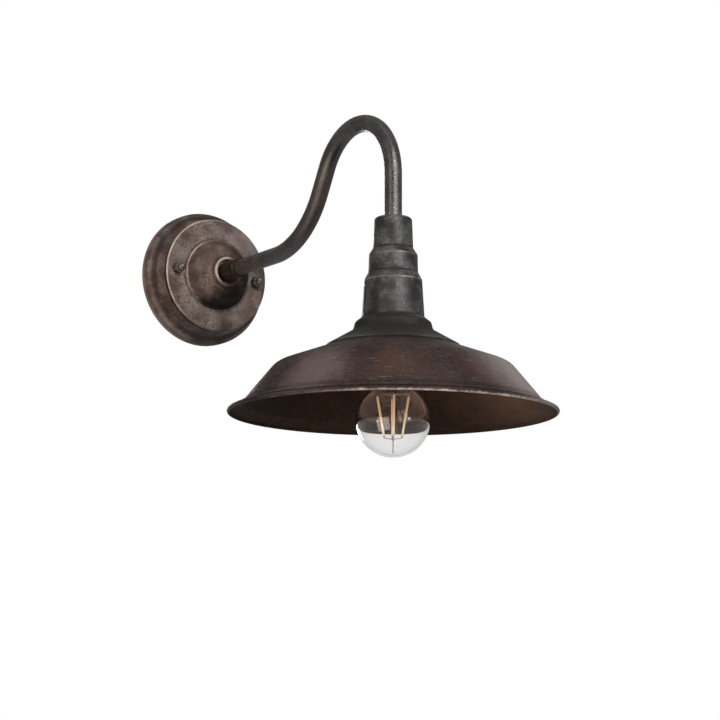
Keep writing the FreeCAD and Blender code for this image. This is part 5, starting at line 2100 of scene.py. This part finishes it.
@dataclass
class Studio:
    """Camera, lights and white surroundings."""

    camera: Corner = (-936.45, -1675.49, -391.22)
    target: Corner = (74.9, -150.0, -87.03)
    focal: float = 106.82
    roll: float = 0.0031
    floor_level: float = -2200.0
    floor_glow: float = 0.97
    soft_light: float = 0.10
    mirrored: float = 0.22
    sensor: float = 36.0
    far: float = 50.0
    floor_size: float = 60.0

    def build(self) -> None:
        """Set up everything around the lamp."""
        self._camera()
        self._lights()
        self._world()
        self._floor()
        bpy.context.scene.view_settings.view_transform = "Standard"

    def _camera(self) -> None:
        """Camera where the photograph was taken from."""
        data = bpy.data.cameras.new("camera")
        data.lens = self.focal
        data.sensor_width = self.sensor
        data.clip_end = self.far
        camera = bpy.data.objects.new("camera", data)
        bpy.context.collection.objects.link(camera)
        place = Vector(self.camera) * MM
        look = Vector(self.target) * MM - place
        turn = look.to_track_quat("-Z", "Y").to_matrix().to_4x4()
        spin = Matrix.Rotation(self.roll, 4, "Z")
        camera.matrix_world = Matrix.Translation(place) @ turn @ spin
        bpy.context.scene.camera = camera

    @staticmethod
    def _lamp(box: SoftBox) -> None:
        """Set up one soft box.

        Args:
            box: What it is like.
        """
        data = bpy.data.lights.new(box.name, "AREA")
        data.shape = "RECTANGLE"
        data.size, data.size_y = box.size
        data.energy = box.power
        data.color = box.tint
        lamp = bpy.data.objects.new(box.name, data)
        bpy.context.collection.objects.link(lamp)
        place = Vector(box.place)
        turn = (Vector(box.aim) - place).to_track_quat("-Z", "Y").to_matrix().to_4x4()
        lamp.matrix_world = Matrix.Translation(place) @ turn

    def _lights(self) -> None:
        """Main light from the front, weaker ones all round, and a low warm one into the shade."""
        for box in SOFT_BOXES:
            self._lamp(box)

    def _seen(self, sketch: Sketch) -> bpy.types.NodeSocket:
        """How much of the white surroundings a ray sees.

        Args:
            sketch: The tree of the world or of the floor.

        Returns:
            One for the camera and for clear glass, less for the lamp's dull reflections, else zero.
        """
        path = sketch.add("LightPath")
        camera, glossy, clear = (path.outputs[ray.value]
                                 for ray in (Ray.CAMERA, Ray.GLOSSY, Ray.TRANSMISSION))
        mirrored = sketch.maths("MULTIPLY", glossy, self.mirrored)
        return sketch.maths("MAXIMUM", sketch.maths("MAXIMUM", camera, clear), mirrored)

    def _world(self) -> None:
        """White for the camera and clear glass, and softer for what lights the lamp."""
        world = bpy.data.worlds.new("surroundings")
        world.use_nodes = True
        bpy.context.scene.world = world
        sketch = Sketch(world.node_tree)
        strength = sketch.maths("MULTIPLY_ADD", self._seen(sketch), 1.0 - self.soft_light,
                                self.soft_light)
        background = sketch.add("Background")
        background.inputs["Color"].default_value = (1.0, 1.0, 1.0, 1.0)
        sketch.feed(background.inputs["Strength"], strength)
        sketch.feed(sketch.add("OutputWorld").inputs["Surface"], background.outputs[0])

    def _floor(self) -> None:
        """Pale floor at its real distance below a wall lamp."""
        deselect()
        bpy.ops.mesh.primitive_plane_add(size=self.floor_size,
                                         location=(0, -1.0, self.floor_level * MM))
        floor = bpy.context.object
        floor.name = "floor"
        material = bpy.data.materials.new("pale floor")
        material.use_nodes = True
        sketch = Sketch(material.node_tree)
        shader = sketch.add("BsdfPrincipled")
        shader.inputs["Base Color"].default_value = (0.82, 0.82, 0.82, 1.0)
        shader.inputs["Roughness"].default_value = 0.9
        shader.inputs["Emission Color"].default_value = (1.0, 1.0, 1.0, 1.0)
        sketch.feed(shader.inputs["Emission Strength"],
                    sketch.maths("MULTIPLY", self._seen(sketch), self.floor_glow))
        sketch.feed(sketch.add("OutputMaterial").inputs["Surface"], shader.outputs["BSDF"])
        floor.data.materials.append(material)


def main() -> None:
    """Build the lamp from the wall outwards, then the studio."""
    logging.basicConfig(level=logging.INFO, format="%(name)s: %(message)s")
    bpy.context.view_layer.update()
    palette = Palette()
    for assembly in (WallCanopy(palette), CanopyFixings(palette), CanopyInside(palette),
                     GooseneckArm(palette), SocketNeck(palette), Lampholder(palette),
                     BarnShade(palette), GlobeBulb(palette), Studio()):
        assembly.build()
    deselect()


if __name__ == "__main__":
    main()
